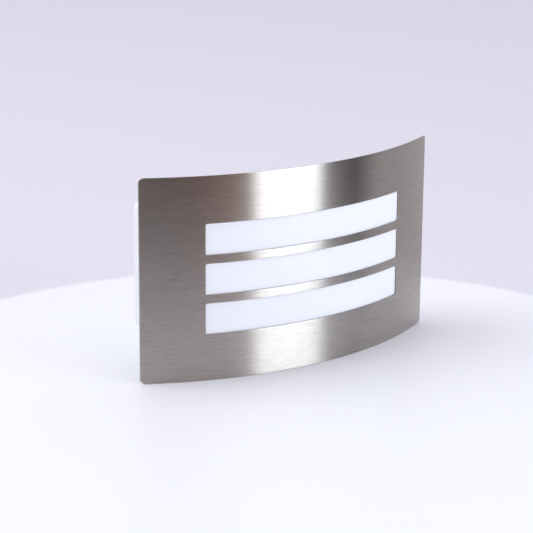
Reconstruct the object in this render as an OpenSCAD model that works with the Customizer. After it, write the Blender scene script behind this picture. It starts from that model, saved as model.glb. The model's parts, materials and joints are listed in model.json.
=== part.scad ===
// Outdoor wall light with a curved steel front, three light slots and an E27 lamp.
// Millimetres. The origin is the middle of the wall face, +X to the right as seen from the front,
// +Y into the wall and +Z up. Distances from the wall are positive numbers and run along -Y.

/* [Front panel] */
// Width of the panel, straight across from end to end
panel_w = 288; // [280:1:300]
// Height of the panel
panel_h = 165; // [150:1:190]
// How far the middle of the panel stands in front of its ends
panel_bulge = 39; // [35:0.5:43]
// Distance from the wall to the panel's end edges
panel_stand_off = 46; // [42:0.5:50]
// Thickness of the steel sheet
sheet_t = 0.8; // [0.6:0.1:1.2]
// Radius of the panel's four corners
panel_corner_r = 4; // [2:0.5:10]

/* [Light slots] */
// Number of slots, one above the other
slot_n = 3; // [1:1:3]
// Width of a slot, straight across
slot_w = 194; // [140:1:200]
// Height of a slot
slot_h = 25; // [15:0.5:26]
// Height of the bar between two slots
slot_bar = 7; // [5:0.5:9]
// Radius of a slot's corners
slot_corner_r = 1.5; // [1:0.25:4]

/* [Base housing] */
// Width of the base housing and of the diffuser on it
body_w = 238; // [234:1:244]
// Height of the base housing and of the diffuser on it
body_h = 102; // [100:1:112]
// Radius of the body's upright corners
body_corner_r = 5; // [4:0.5:8]
// Depth of the base housing, from the wall to its rim
base_d = 34; // [31:0.5:36]
// Thickness of the wall plate
back_t = 4; // [3.5:0.25:5]
// Thickness of the side walls
wall_t = 2.5; // [2:0.25:3]
// Width of the rim that carries the diffuser
rim_w = 7; // [6.5:0.25:8]
// Thickness of the rim
rim_t = 6; // [5:0.25:7]

/* [Seals] */
// Width of the rubber seal in the rim
seal_w = 2.6; // [2:0.1:2.8]
// Height of the rubber seal
seal_t = 2; // [1.5:0.1:2.5]
// Distance from the outer face to the seal's groove
groove_inset = 2.2; // [2:0.1:2.6]
// Gap between the seal and each side of its groove
seal_side_gap = 0.2; // [0.1:0.05:0.3]
// How far the diffuser's tongue reaches into the groove
tongue_h = 1; // [0.5:0.1:1.5]
// Width of the foam gasket against the wall
gasket_w = 8; // [5:0.5:9]
// Thickness of the foam gasket
gasket_t = 2; // [1:0.25:2.5]
// Distance from the outer face to the foam gasket
gasket_inset = 3.5; // [3:0.5:4]
// Gap around the foam gasket in its recess
gasket_gap = 0.2; // [0.1:0.05:0.4]

/* [Diffuser] */
// Wall thickness of the opal diffuser
diffuser_t = 2; // [1.5:0.25:2.5]
// Gap between the steel sheet and the diffuser behind it
diffuser_gap = 0.4; // [0.3:0.05:0.6]
// Width of the diffuser's foot on the rim
foot_w = 6.4; // [6:0.1:7]
// Thickness of the diffuser's foot
foot_t = 2; // [1.5:0.25:3]

/* [Panel clips and side screws] */
// Thickness of the clips that are welded behind the panel
clip_t = 1.2; // [1:0.1:1.5]
// Height of the clips
clip_h = 20; // [14:1:30]
// Reach of a clip's flange along the panel
clip_flange = 17; // [12:1:20]
// Distance from the wall to the rear end of a clip
clip_stand_off = 9; // [7:0.5:10]
// Gap between a clip and the side of the body
clip_side_gap = 0.3; // [0.2:0.05:0.5]
// Gap between a clip's flange and the sheet at the weld
weld_gap = 0.05; // [0.02:0.01:0.1]
// Distance from the wall to the side screws
side_screw_d = 17; // [15.5:0.5:18.5]
// Radius of a side screw's shank, M4
side_screw_r = 2; // [1.5:0.25:2.5]
// Length of a side screw under its head
side_screw_len = 12; // [9:0.5:13]
// Radius of a side screw's head
side_head_r = 4; // [3.5:0.25:5]
// Height of a side screw's head
side_head_h = 2.8; // [2.2:0.1:3.5]
// Width across flats of the socket in a side screw's head
side_socket_af = 2.5; // [2:0.5:3]
// Depth of the socket in a side screw's head
side_socket_d = 1.5; // [1:0.1:1.8]
// Radius of the washers
washer_r = 4.5; // [4.5:0.25:6]
// Thickness of the washers
washer_t = 1; // [0.8:0.1:1.5]
// Gap between a screw and a plain hole around it
screw_gap = 0.3; // [0.2:0.05:0.5]
// Gap between a screw and the thread that holds it
thread_gap = 0.05; // [0.02:0.01:0.08]
// Outer radius of the brass inserts
insert_r = 3.4; // [3:0.1:4]
// Length of the brass inserts
insert_len = 10; // [8:0.5:11]
// Radius of the bosses around the inserts
insert_boss_r = 6; // [5.5:0.25:7]
// Length of the bosses around the inserts, from the outer face
insert_boss_len = 12; // [11.5:0.5:14]

/* [Wall fixing] */
// Distance between the wall slots, side to side
wall_slot_x = 200; // [190:1:200]
// Distance between the wall slots, top to bottom
wall_slot_z = 68; // [64:1:68]
// Width of the wall slots
wall_slot_w = 5; // [4:0.5:5.5]
// Length of the wall slots
wall_slot_len = 10; // [7:0.5:11]
// Place of the cable entry, to the left of the middle
cable_x = -78; // [-84:1:-74]
// Place of the cable entry, above the middle
cable_z = 22; // [18:1:24]
// Radius of the cable entry in the rubber grommet
cable_r = 4; // [3:0.25:5]
// Radius of the grommet's neck
grommet_neck_r = 7.9; // [7:0.1:8.5]
// Radius of the grommet's flanges
grommet_flange_r = 10.5; // [10:0.25:11]
// Thickness of the grommet's wall-side flange
grommet_rear_t = 1.2; // [1:0.1:1.5]
// Thickness of the grommet's inner flange
grommet_front_t = 2.5; // [1.5:0.25:3]
// Height of the grommet's nose
grommet_nose_h = 2.5; // [1.5:0.25:4]
// Radius of the foot of the grommet's nose
grommet_nose_r = 6.9; // [6.4:0.1:7]
// Thickness of the nose at its tip
grommet_tip_t = 1.2; // [0.8:0.1:1.4]
// Gap around the grommet in the wall plate
grommet_gap = 0.1; // [0.05:0.05:0.3]

/* [Terminal block] */
// Place of the terminal block, to the left of the middle
block_x = -82; // [-84:1:-80]
// Place of the terminal block, below the middle
block_z = -12; // [-13:1:-10]
// Distance between two poles
pole_pitch = 11; // [10:0.5:12]
// Thickness of the plastic beside the outer clamps
block_wall = 2.6; // [2:0.1:3]
// Height of the terminal block, along the wires
block_h = 20; // [18:0.5:22]
// Depth of the terminal block
block_d = 16; // [15:0.5:18]
// Height of the pad under the terminal block
block_pad_t = 2; // [1:0.25:3]
// Height of the clamps' middle line over the block's rear face
clamp_mid = 7; // [6:0.25:7.5]
// Outer radius of the brass clamps
clamp_r = 3.4; // [3:0.1:3.6]
// Radius of the wire hole in a clamp
clamp_bore_r = 1.8; // [1.5:0.1:2]
// Length of a clamp
clamp_len = 17; // [14:0.5:17.5]
// Radius of the clamp screws
clamp_screw_r = 1.3; // [1:0.1:1.4]
// Length of the clamp screws
clamp_screw_len = 5; // [4:0.5:6]
// Radius of the wells over the clamp screws
clamp_well_r = 2; // [1.8:0.1:2.2]
// Thickness of the plastic between the clamps and the fixing screw's head
block_seat_t = 0.5; // [0.4:0.1:0.8]
// Radius of the terminal block's fixing screw
block_screw_r = 1.4; // [1.2:0.1:1.5]
// Radius of the fixing screw's head
block_head_r = 2.4; // [2.2:0.1:2.6]
// Height of the fixing screw's head
block_head_h = 1.6; // [1.2:0.1:2]

/* [Lampholder bracket] */
// Distance from the middle to the face of the bracket that carries the lampholder
bracket_x = 88; // [86:0.5:89]
// Thickness of the bracket
bracket_t = 1.5; // [1.2:0.1:2]
// How far the bracket's round face stays inside the lampholder's edge
bracket_inset = 1.5; // [0.5:0.25:2]
// Length of the bracket's foot
bracket_foot = 18; // [16:0.5:19]
// Height of the bracket's foot, side to side across its screws
bracket_foot_h = 48; // [44:1:50]
// Height of the bosses that carry the bracket
bracket_boss_h = 7; // [6:0.5:8]
// Radius of the bosses that carry the bracket
bracket_boss_r = 5; // [4:0.25:6]
// Distance between the bracket's two screws
bracket_screw_pitch = 34; // [30:1:36]
// Distance from the bracket's face to its screws
bracket_screw_in = 11; // [9:0.5:12]
// Radius of the bracket screws
bracket_screw_r = 1.9; // [1.6:0.1:2]
// Length of the bracket screws under their heads
bracket_screw_len = 7; // [6:0.5:8]
// Radius of the bracket screws' heads
bracket_head_r = 3.6; // [3.2:0.1:4]
// Height of the bracket screws' heads
bracket_head_h = 2.2; // [1.8:0.1:2.6]

/* [Lampholder] */
// Distance from the wall to the middle line of the lamp
lamp_d = 40; // [38:0.5:42]
// Outer radius of the lampholder
holder_r = 19.5; // [19:0.25:21]
// Length of the lampholder's rear dome
dome_len = 22; // [21:0.5:24]
// Length of the whole lampholder
holder_len = 44; // [43:0.5:44.5]
// Chamfer around the dome's end
dome_chamfer = 3; // [2:0.25:4]
// Thickness of the dome's end wall
dome_end_t = 6; // [4:0.5:7]
// Depth of the ledge that the insulator rests on, from the dome's end
ledge_d = 10; // [9:0.5:11]
// Radius of the space behind the ledge
ledge_r = 14; // [12:0.5:15]
// Thickness of the insulator
puck_t = 6; // [5:0.5:7]
// Radius of the insulator
puck_r = 16.8; // [16.5:0.1:17]
// Gap between parts that fit inside each other in the lampholder
holder_gap = 0.2; // [0.1:0.05:0.3]
// Chamfer around the sleeve's open end
sleeve_chamfer = 1; // [0.5:0.1:1.5]
// Inner radius of the sleeve
sleeve_in_r = 14.6; // [14.5:0.05:15]
// Outer radius of the brass screw shell
shell_r = 14.2; // [14.1:0.05:14.3]
// Wall thickness of the brass screw shell
shell_t = 0.6; // [0.4:0.1:0.7]
// Length of the brass screw shell
shell_len = 25; // [22:0.5:26]
// Height of the centre contact over the insulator
contact_h = 2.6; // [2.2:0.1:3]
// Thickness of the centre contact's strip
contact_t = 0.6; // [0.4:0.1:0.8]
// Width of the centre contact's strip
contact_w = 5; // [4:0.5:6]
// Half the length of the centre contact's flat tip
contact_tip = 3; // [2:0.25:4]
// Distance from the middle line to the far end of the centre contact's foot
contact_foot = 10; // [8:0.5:11]
// Outer radius of the threaded nipple, M10
nipple_r = 5; // [4.5:0.25:5.5]
// Inner radius of the threaded nipple
nipple_in_r = 3.7; // [3.2:0.1:3.9]
// How far the nipple stands out past its nut and inside the dome
nipple_spare = 1.2; // [0.5:0.1:1.4]
// Thickness of the nut on the nipple
nut_t = 4; // [3:0.5:5]
// Width across flats of the nut
nut_af = 14; // [13:0.5:16]
// Distance from the middle line to the two terminals in the insulator
terminal_off = 9; // [8.5:0.25:10]
// Radius of the terminals' screws
terminal_r = 1.5; // [1.2:0.1:1.8]
// Depth of the terminals' screws in the insulator
terminal_len = 3; // [2:0.25:4]
// Radius of the terminals' heads
terminal_head_r = 2.8; // [2.4:0.1:3]
// Height of the terminals' heads
terminal_head_h = 1.6; // [1.2:0.1:2]

/* [Lamp] */
// Length of the lamp, from its contact to its tip
lamp_len = 108; // [104:1:110]
// Radius of the lamp's globe
globe_r = 30; // [27:0.5:31]
// Wall thickness of the lamp's globe
globe_t = 1.2; // [0.8:0.1:2]
// Outer radius of the lamp cap's thread, E27
cap_r = 13; // [12.9:0.05:13.15]
// Depth of the lamp cap's thread
cap_thread_h = 0.8; // [0.5:0.1:1]
// Pitch of the lamp cap's thread, E27
cap_pitch = 3.629; // [3.5:0.001:3.7]
// Wall thickness of the lamp cap under its thread
cap_t = 0.6; // [0.4:0.1:0.8]
// Length of the lamp's cap with its insulator and contact
cap_len = 27; // [26.5:0.1:28]
// Thickness of the lamp's centre contact
lamp_contact_t = 1.2; // [1:0.1:1.5]
// Radius of the lamp's centre contact
lamp_contact_r = 4.8; // [4:0.1:5.5]
// Height of the insulator between contact and cap
lamp_insulator_h = 2.8; // [2:0.1:3.5]
// Width of the cap's rolled edge over the insulator
cap_lip = 2; // [1.5:0.1:2.5]
// Distance from the contact to the front of the lamp's plastic body
lamp_body_len = 60; // [56:1:64]
// Radius of the board that carries the light-emitting diodes
board_r = 20; // [17:0.5:21]
// Thickness of that board
board_t = 1.2; // [1:0.1:1.6]
// Width of a light-emitting diode
diode_w = 2.8; // [2:0.1:3.5]
// Height of a light-emitting diode
diode_t = 0.7; // [0.5:0.1:1]

/* [Wiring] */
// Radius of the wires' insulation
wire_r = 1.1; // [0.9:0.05:1.15]
// Distance between the middle lines of two wires that lie together
wire_pitch = 2.6; // [2.5:0.05:3]
// How far before and after a corner a wire starts to bend
wire_bend = 6; // [3:0.5:8]
// Gap between a wire and what grips or stops it
wire_gap = 0.1; // [0.05:0.05:0.2]
// Distance from the housing's lower wall to the wires that run along it
wire_run_in = 5; // [4:0.5:6]
// Height of that run over the wall plate
wire_run_up = 3; // [2:0.5:4]

/* [Earth connection] */
// Radius of the earth screw, M4
earth_screw_r = 2; // [1.5:0.25:2]
// Radius of the earth screw's head
earth_head_r = 3.5; // [3.2:0.1:3.8]
// Height of the earth screw's head
earth_head_h = 2.2; // [1.8:0.1:2.6]
// Thickness of the earth screw's nut
earth_nut_t = 3; // [2.5:0.25:3.5]
// Width across flats of that nut
earth_nut_af = 7; // [6.5:0.25:7.5]
// How far the earth screw stands out past its nut
earth_screw_spare = 0.5; // [0.3:0.1:1]
// Radius of the ring terminal
ring_r = 4.5; // [4.2:0.1:4.8]
// Thickness of the ring terminal
ring_t = 0.8; // [0.6:0.1:1]
// Length of the ring terminal's barrel
barrel_len = 5; // [4:0.25:6]
// Wall thickness of that barrel
barrel_t = 0.5; // [0.4:0.05:0.6]

/* [Hidden] */
$fn = 64;

// A cut runs this far past the faces that it opens
over = 1;

// The smallest radius of a corner that is drawn in from the body's outline
least_corner_r = 0.6;

// Slots and crosses for a screwdriver: width and depth
driver_slot_w = 0.6;
driver_slot_d = 0.8;
driver_cross_w = 0.7;
driver_cross_d = 1.2;

// The panel's front face is part of a cylinder with an upright axis behind the wall
panel_r = (panel_w * panel_w / 4 + panel_bulge * panel_bulge) / (2 * panel_bulge);
crown_d = panel_stand_off + panel_bulge;
arc_axis_d = crown_d - panel_r;
diffuser_r = panel_r - sheet_t - diffuser_gap;

// Distance from one slot to the next
slot_step = slot_h + slot_bar;

// The diffuser's tongue lies over the middle of the seal
groove_w = seal_w + 2 * seal_side_gap;
groove_d = seal_t + tongue_h;
seal_inset = groove_inset + seal_side_gap;
tongue_inset = seal_inset + seal_side_gap;
tongue_w = seal_w - 2 * seal_side_gap;

// Side screws: the clip, the washer and the head lie one on the other outside the body
side_x = body_w / 2;
washer_at = clip_side_gap + clip_t;
head_at = washer_at + washer_t;

// The bracket's foot lies on its bosses
foot_d = back_t + bracket_boss_h;
bracket_top_d = foot_d + bracket_t;
bracket_screw_x = bracket_x + bracket_screw_in;

// Terminal block
block_w = 2 * (pole_pitch + clamp_r + block_wall);
block_at = back_t + block_pad_t;
clamp_d = block_at + clamp_mid;
clamp_screw_z = clamp_len / 4;
block_screw_x = block_x - pole_pitch / 2;
block_seat_d = clamp_d + clamp_r + block_seat_t;
block_screw_tip_d = back_t * 0.6;

// Lampholder, measured from the bracket's face towards the lamp
spigot_end = ledge_d + puck_t;
lamp_at = spigot_end + contact_h;
shell_in_r = shell_r - shell_t;

// Lamp, measured from its centre contact towards its tip
cap_start = lamp_contact_t + lamp_insulator_h;
cap_shoulder = 1;
thread_start = cap_start + cap_shoulder;
thread_turns = 5;
thread_end = thread_start + thread_turns * cap_pitch;
cap_root_r = cap_r - cap_thread_h;
cap_in_r = cap_root_r - cap_t;
globe_mid = lamp_len - globe_r;
globe_edge_r = sqrt(globe_r * globe_r - pow(globe_mid - lamp_body_len, 2));
body_rim_r = globe_edge_r + 0.8;
body_rim_t = 4;
body_collar_r = cap_r + 1;

// Wires are drawn with this many sides and this many steps in each bend
wire_sides = 8;
bend_steps = 4;

// Earth connection: the barrel lies on the ring's lower side
barrel_r = wire_r + wire_gap + barrel_t;
barrel_d = bracket_top_d + barrel_r + wire_gap;
barrel_z = -ring_r - barrel_len + over;

// Outlines

// A rectangle with round corners, drawn around the origin
module round_rect(w, h, r) {
    square([w - 2 * r, h], center = true);
    square([w, h - 2 * r], center = true);
    for (sx = [-1, 1], sy = [-1, 1]) {
        translate([sx * (w / 2 - r), sy * (h / 2 - r)]) circle(r);
    }
}

// A slot with round ends, along the first axis
module round_slot(length, w) {
    square([length - w, w], center = true);
    for (s = [-1, 1]) translate([s * (length - w) / 2, 0]) circle(w / 2);
}

// A hexagon by its width across flats
module hexagon(af) {
    circle(r = af / 2 / cos(30), $fn = 6);
}

// Places

// Draws upright shapes at a distance from the wall, growing towards the front
module from_wall(d) {
    translate([0, -d, 0]) rotate([90, 0, 0]) children();
}

// Draws along the lamp's middle line, from the bracket's face towards the lamp's tip
module along_lamp(at = 0) {
    translate([bracket_x - at, -lamp_d, 0]) rotate([0, -90, 0]) children();
}

// Draws along a side screw, from the side of the body outwards; side is 1 at the right and -1 at the left
module at_side(side, at = 0) {
    translate([side * (side_x + at), -side_screw_d, 0]) rotate([0, side * 90, 0]) children();
}

// Everything that is nearer to the arc's axis than r
module inside_arc(r, h) {
    translate([0, -arc_axis_d, -h / 2]) cylinder(r = r, h = h, $fn = 180);
}

// A plain block from its two corners, where the second number is the distance from the wall
module block_between(low, high) {
    translate([low[0], -high[1], low[2]]) cube([high[0] - low[0], high[1] - low[1], high[2] - low[2]]);
}

// A screw head with a chamfered edge, growing from the face that it sits on
module screw_head(r, h) {
    chamfer = 0.4 * h;
    cylinder(r = r, h = h - chamfer);
    translate([0, 0, h - chamfer]) cylinder(r1 = r, r2 = r - chamfer, h = chamfer);
}

// The slot in a screw head whose top lies at a distance from the wall
module driver_slot(top_d, head_r) {
    from_wall(top_d - driver_slot_d) translate([-head_r, -driver_slot_w / 2, 0])
        cube([2 * head_r, driver_slot_w, driver_slot_d + over]);
}

// The cross in a screw head whose top lies at a distance from the wall
module driver_cross(top_d, head_r) {
    from_wall(top_d - driver_cross_d) for (a = [0, 90]) {
        rotate([0, 0, a]) translate([-head_r / 2, -driver_cross_w / 2, 0])
            cube([head_r, driver_cross_w, driver_cross_d + over]);
    }
}

// A body outline drawn in from the outer face, as a solid from one distance to another
module body_prism(inset, d0, d1) {
    from_wall(d0) linear_extrude(d1 - d0)
        round_rect(body_w - 2 * inset, body_h - 2 * inset, max(body_corner_r - inset, least_corner_r));
}

// A frame between two insets
module body_frame(inset, w, d0, d1) {
    difference() {
        body_prism(inset, d0, d1);
        body_prism(inset + w, d0 - over, d1 + over);
    }
}

// A wire through a list of points of x, distance from the wall and height.
// Each corner becomes a curve, and a ring of points is carried along the whole path.
function unit(v) = v / norm(v);
function bend_point(a, b, c, t) =
    let (reach = min(wire_bend, norm(a - b) * 0.45, norm(c - b) * 0.45),
         p = b + reach * unit(a - b),
         q = b + reach * unit(c - b))
    (1 - t) * (1 - t) * p + 2 * t * (1 - t) * b + t * t * q;
function wire_path(points) =
    let (last = len(points) - 1, w = [for (p = points) [p[0], -p[1], p[2]]])
    concat([w[0]],
           [for (i = [1:last - 1], k = [0:bend_steps])
               bend_point(w[i - 1], w[i], w[i + 1], k / bend_steps)],
           [w[last]]);
function path_directions(path) =
    let (last = len(path) - 1)
    [for (i = [0:last]) unit(path[min(i + 1, last)] - path[max(i - 1, 0)])];
function ring_axes(directions, side, i = 0) =
    i == len(directions) ? [] :
    let (s = unit(side - (side * directions[i]) * directions[i]))
    concat([s], ring_axes(directions, s, i + 1));

module wire(points) {
    path = wire_path(points);
    directions = path_directions(path);
    sides = ring_axes(directions, [0, -1, 0.1]);
    rings = len(path);
    corners = [for (i = [0:rings - 1], k = [0:wire_sides - 1])
        let (a = 360 * k / wire_sides, up = cross(directions[i], sides[i]))
        path[i] + wire_r * (cos(a) * sides[i] + sin(a) * up)];
    start = [[for (k = [0:wire_sides - 1]) k]];
    end = [[for (k = [wire_sides - 1:-1:0]) (rings - 1) * wire_sides + k]];
    skin = [for (i = [0:rings - 2], k = [0:wire_sides - 1], half = [0, 1])
        let (n = (k + 1) % wire_sides, low = i * wire_sides, high = low + wire_sides)
        half == 0 ? [low + k, high + k, high + n] : [low + k, high + n, low + n]];
    polyhedron(corners, concat(start, skin, end));
}

// Base housing and its seals

module wall_slots() {
    for (sx = [-1, 1], sz = [-1, 1]) {
        translate([sx * wall_slot_x / 2, 0, sz * wall_slot_z / 2])
            from_wall(-over) linear_extrude(back_t + 2 * over) round_slot(wall_slot_len, wall_slot_w);
    }
}

module grommet_hole() {
    translate([cable_x, 0, cable_z]) {
        from_wall(-over) cylinder(r = grommet_neck_r + grommet_gap, h = back_t + 2 * over);
        from_wall(-over)
            cylinder(r = grommet_flange_r + grommet_gap, h = over + grommet_rear_t + grommet_gap);
    }
}

module base_housing() {
    color([0.93, 0.94, 0.97]) difference() {
        union() {
            body_prism(0, 0, back_t);
            body_frame(0, wall_t, back_t, base_d);
            body_frame(0, rim_w, base_d - rim_t, base_d);
            for (s = [-1, 1]) {
                at_side(s, -insert_boss_len) cylinder(r = insert_boss_r, h = insert_boss_len - wall_t / 2);
                translate([bracket_screw_x, 0, s * bracket_screw_pitch / 2])
                    from_wall(back_t / 2) cylinder(r = bracket_boss_r, h = foot_d - back_t / 2);
            }
            block_between([block_x - block_w / 2, back_t / 2, block_z - block_h / 2],
                          [block_x + block_w / 2, block_at, block_z + block_h / 2]);
        }
        body_frame(groove_inset, groove_w, base_d - groove_d, base_d + over);
        body_frame(gasket_inset - gasket_gap, gasket_w + 2 * gasket_gap, -over, gasket_t);
        wall_slots();
        grommet_hole();
        for (s = [-1, 1]) {
            at_side(s, -insert_boss_len - over)
                cylinder(r = insert_r + thread_gap, h = insert_boss_len + 2 * over);
            translate([bracket_screw_x, 0, s * bracket_screw_pitch / 2])
                from_wall(back_t) cylinder(r = bracket_screw_r + thread_gap, h = bracket_boss_h + over);
        }
        translate([block_screw_x, 0, block_z])
            from_wall(back_t / 2) cylinder(r = block_screw_r + thread_gap, h = back_t);
    }
}

module wall_gasket() {
    color([0.2, 0.2, 0.21]) body_frame(gasket_inset, gasket_w, 0, gasket_t);
}

module base_seal() {
    color([0.12, 0.12, 0.13]) body_frame(seal_inset, seal_w, base_d - groove_d, base_d - tongue_h);
}

module cable_grommet() {
    front = back_t + grommet_front_t;
    tip = front + grommet_nose_h;
    color([0.15, 0.15, 0.16]) translate([cable_x, 0, cable_z]) from_wall(0) rotate_extrude()
        polygon([[cable_r, 0], [grommet_flange_r, 0], [grommet_flange_r, grommet_rear_t],
                 [grommet_neck_r, grommet_rear_t], [grommet_neck_r, back_t],
                 [grommet_flange_r, back_t], [grommet_flange_r, front],
                 [grommet_nose_r, front], [cable_r + grommet_tip_t, tip], [cable_r, tip]]);
}

module side_inserts() {
    color([0.80, 0.66, 0.35]) for (s = [-1, 1]) {
        at_side(s, -insert_len) difference() {
            cylinder(r = insert_r, h = insert_len);
            translate([0, 0, -over]) cylinder(r = side_screw_r + thread_gap, h = insert_len + 2 * over);
        }
    }
}

// Terminal block

function pole_x(i) = block_x + (i - 1) * pole_pitch;

module terminal_block() {
    color([0.88, 0.88, 0.86]) difference() {
        block_between([block_x - block_w / 2, block_at, block_z - block_h / 2],
                      [block_x + block_w / 2, block_at + block_d, block_z + block_h / 2]);
        for (i = [0:2]) {
            translate([pole_x(i), -clamp_d, block_z - block_h / 2 - over])
                cylinder(r = clamp_r + holder_gap / 2, h = block_h + 2 * over);
            for (s = [-1, 1]) {
                translate([pole_x(i), 0, block_z + s * clamp_screw_z])
                    from_wall(clamp_d) cylinder(r = clamp_well_r, h = block_d);
            }
        }
        translate([block_screw_x, 0, block_z]) {
            from_wall(block_at - over) cylinder(r = block_screw_r + screw_gap / 2, h = block_d + 2 * over);
            from_wall(block_seat_d) cylinder(r = block_head_r + screw_gap / 2, h = block_d);
        }
    }
}

module terminal_clamps() {
    color([0.80, 0.66, 0.35]) for (i = [0:2]) {
        difference() {
            translate([pole_x(i), -clamp_d, block_z - clamp_len / 2]) cylinder(r = clamp_r, h = clamp_len);
            translate([pole_x(i), -clamp_d, block_z - clamp_len / 2 - over])
                cylinder(r = clamp_bore_r, h = clamp_len + 2 * over);
            for (s = [-1, 1]) {
                translate([pole_x(i), 0, block_z + s * clamp_screw_z])
                    from_wall(clamp_d) cylinder(r = clamp_screw_r + thread_gap, h = clamp_r + over);
            }
        }
    }
}

module terminal_screws() {
    color([0.72, 0.72, 0.70]) for (i = [0:2], s = [-1, 1]) {
        tip_d = clamp_d + wire_r + wire_gap;
        translate([pole_x(i), 0, block_z + s * clamp_screw_z]) difference() {
            from_wall(tip_d) cylinder(r = clamp_screw_r, h = clamp_screw_len);
            driver_slot(tip_d + clamp_screw_len, clamp_screw_r + over);
        }
    }
}

module terminal_block_screw() {
    color([0.72, 0.72, 0.70]) translate([block_screw_x, 0, block_z]) difference() {
        union() {
            from_wall(block_screw_tip_d) cylinder(r = block_screw_r, h = block_seat_d - block_screw_tip_d);
            from_wall(block_seat_d) screw_head(block_head_r, block_head_h);
        }
        driver_slot(block_seat_d + block_head_h, block_head_r);
    }
}

// Lampholder and its bracket

module lampholder_bracket() {
    face_r = holder_r - bracket_inset;
    color([0.70, 0.71, 0.72]) difference() {
        union() {
            block_between([bracket_x, foot_d, -bracket_foot_h / 2],
                          [bracket_x + bracket_foot, bracket_top_d, bracket_foot_h / 2]);
            block_between([bracket_x, foot_d, -face_r], [bracket_x + bracket_t, lamp_d, face_r]);
            along_lamp(-bracket_t) cylinder(r = face_r, h = bracket_t);
        }
        along_lamp(-bracket_t - over) cylinder(r = nipple_r + holder_gap, h = bracket_t + 2 * over);
        translate([bracket_screw_x, 0, 0])
            from_wall(foot_d - over) cylinder(r = earth_screw_r + screw_gap / 2, h = bracket_t + 2 * over);
        for (s = [-1, 1]) {
            translate([bracket_screw_x, 0, s * bracket_screw_pitch / 2])
                from_wall(foot_d - over)
                    cylinder(r = bracket_screw_r + screw_gap, h = bracket_t + 2 * over);
        }
    }
}

module bracket_screws() {
    color([0.72, 0.72, 0.70]) for (s = [-1, 1]) {
        translate([bracket_screw_x, 0, s * bracket_screw_pitch / 2]) difference() {
            union() {
                from_wall(bracket_top_d - bracket_screw_len)
                    cylinder(r = bracket_screw_r, h = bracket_screw_len);
                from_wall(bracket_top_d) screw_head(bracket_head_r, bracket_head_h);
            }
            driver_cross(bracket_top_d + bracket_head_h, bracket_head_r);
        }
    }
}

module lampholder_nipple() {
    length = nipple_spare + nut_t + bracket_t + dome_end_t + nipple_spare;
    color([0.72, 0.72, 0.70]) along_lamp(-bracket_t - nut_t - nipple_spare) difference() {
        cylinder(r = nipple_r, h = length);
        translate([0, 0, -over]) cylinder(r = nipple_in_r, h = length + 2 * over);
    }
}

module lampholder_nut() {
    color([0.74, 0.74, 0.72]) along_lamp(-bracket_t - nut_t) difference() {
        linear_extrude(nut_t) hexagon(nut_af);
        translate([0, 0, -over]) cylinder(r = nipple_r + thread_gap, h = nut_t + 2 * over);
    }
}

module lampholder_dome() {
    hole_r = nipple_r + thread_gap;
    socket_r = puck_r + 2 * holder_gap;
    color([0.16, 0.16, 0.17]) along_lamp() rotate_extrude()
        polygon([[hole_r, 0], [holder_r - dome_chamfer, 0], [holder_r, dome_chamfer], [holder_r, dome_len],
                 [socket_r, dome_len], [socket_r, ledge_d], [ledge_r, ledge_d], [ledge_r, dome_end_t],
                 [hole_r, dome_end_t]]);
}

module lampholder_insulator() {
    color([0.93, 0.91, 0.86]) along_lamp(ledge_d) difference() {
        cylinder(r = puck_r, h = puck_t);
        for (s = [-1, 1]) translate([s * terminal_off, 0, -over])
            cylinder(r = terminal_r + wire_gap, h = terminal_len + holder_gap + over);
    }
}

module lampholder_sleeve() {
    color([0.16, 0.16, 0.17]) along_lamp() rotate_extrude()
        polygon([[sleeve_in_r, spigot_end], [puck_r + holder_gap, spigot_end],
                 [puck_r + holder_gap, dome_len], [holder_r, dome_len],
                 [holder_r, holder_len - sleeve_chamfer], [holder_r - sleeve_chamfer, holder_len],
                 [sleeve_in_r + sleeve_chamfer, holder_len], [sleeve_in_r, holder_len - sleeve_chamfer]]);
}

module lampholder_screw_shell() {
    color([0.80, 0.66, 0.35]) along_lamp(spigot_end) difference() {
        cylinder(r = shell_r, h = shell_len);
        translate([0, 0, -over]) cylinder(r = shell_in_r, h = shell_len + 2 * over);
    }
}

module lampholder_centre_contact() {
    // A foot on the insulator, a sloping strip and a flat tip under the lamp's contact
    rise = contact_h;
    color([0.80, 0.66, 0.35]) along_lamp(spigot_end) rotate([90, 0, 0]) translate([0, 0, -contact_w / 2])
        linear_extrude(contact_w)
            polygon([[-contact_foot, 0], [-contact_tip - rise, 0], [-contact_tip, contact_h - contact_t],
                     [contact_tip, contact_h - contact_t], [contact_tip, contact_h],
                     [-contact_tip, contact_h], [-contact_tip - rise, contact_t],
                     [-contact_foot, contact_t]]);
}

module lampholder_terminals() {
    // The two terminal screws in the insulator, which hold the ends of the wires
    color([0.80, 0.66, 0.35]) for (s = [-1, 1]) {
        along_lamp(ledge_d - terminal_head_h) translate([s * terminal_off, 0, 0]) {
            cylinder(r = terminal_head_r, h = terminal_head_h);
            cylinder(r = terminal_r, h = terminal_head_h + terminal_len);
        }
    }
}

// Earth connection on the bracket's foot

module earth_screw() {
    seat = bracket_top_d + ring_t;
    tip_d = foot_d - earth_nut_t - earth_screw_spare;
    color([0.80, 0.66, 0.35]) translate([bracket_screw_x, 0, 0]) difference() {
        union() {
            from_wall(tip_d) cylinder(r = earth_screw_r, h = seat - tip_d);
            from_wall(seat) screw_head(earth_head_r, earth_head_h);
        }
        driver_cross(seat + earth_head_h, earth_head_r);
    }
}

module earth_nut() {
    color([0.80, 0.66, 0.35]) translate([bracket_screw_x, 0, 0]) difference() {
        from_wall(foot_d - earth_nut_t) linear_extrude(earth_nut_t) hexagon(earth_nut_af);
        from_wall(foot_d - earth_nut_t - over)
            cylinder(r = earth_screw_r + thread_gap, h = earth_nut_t + 2 * over);
    }
}

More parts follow.
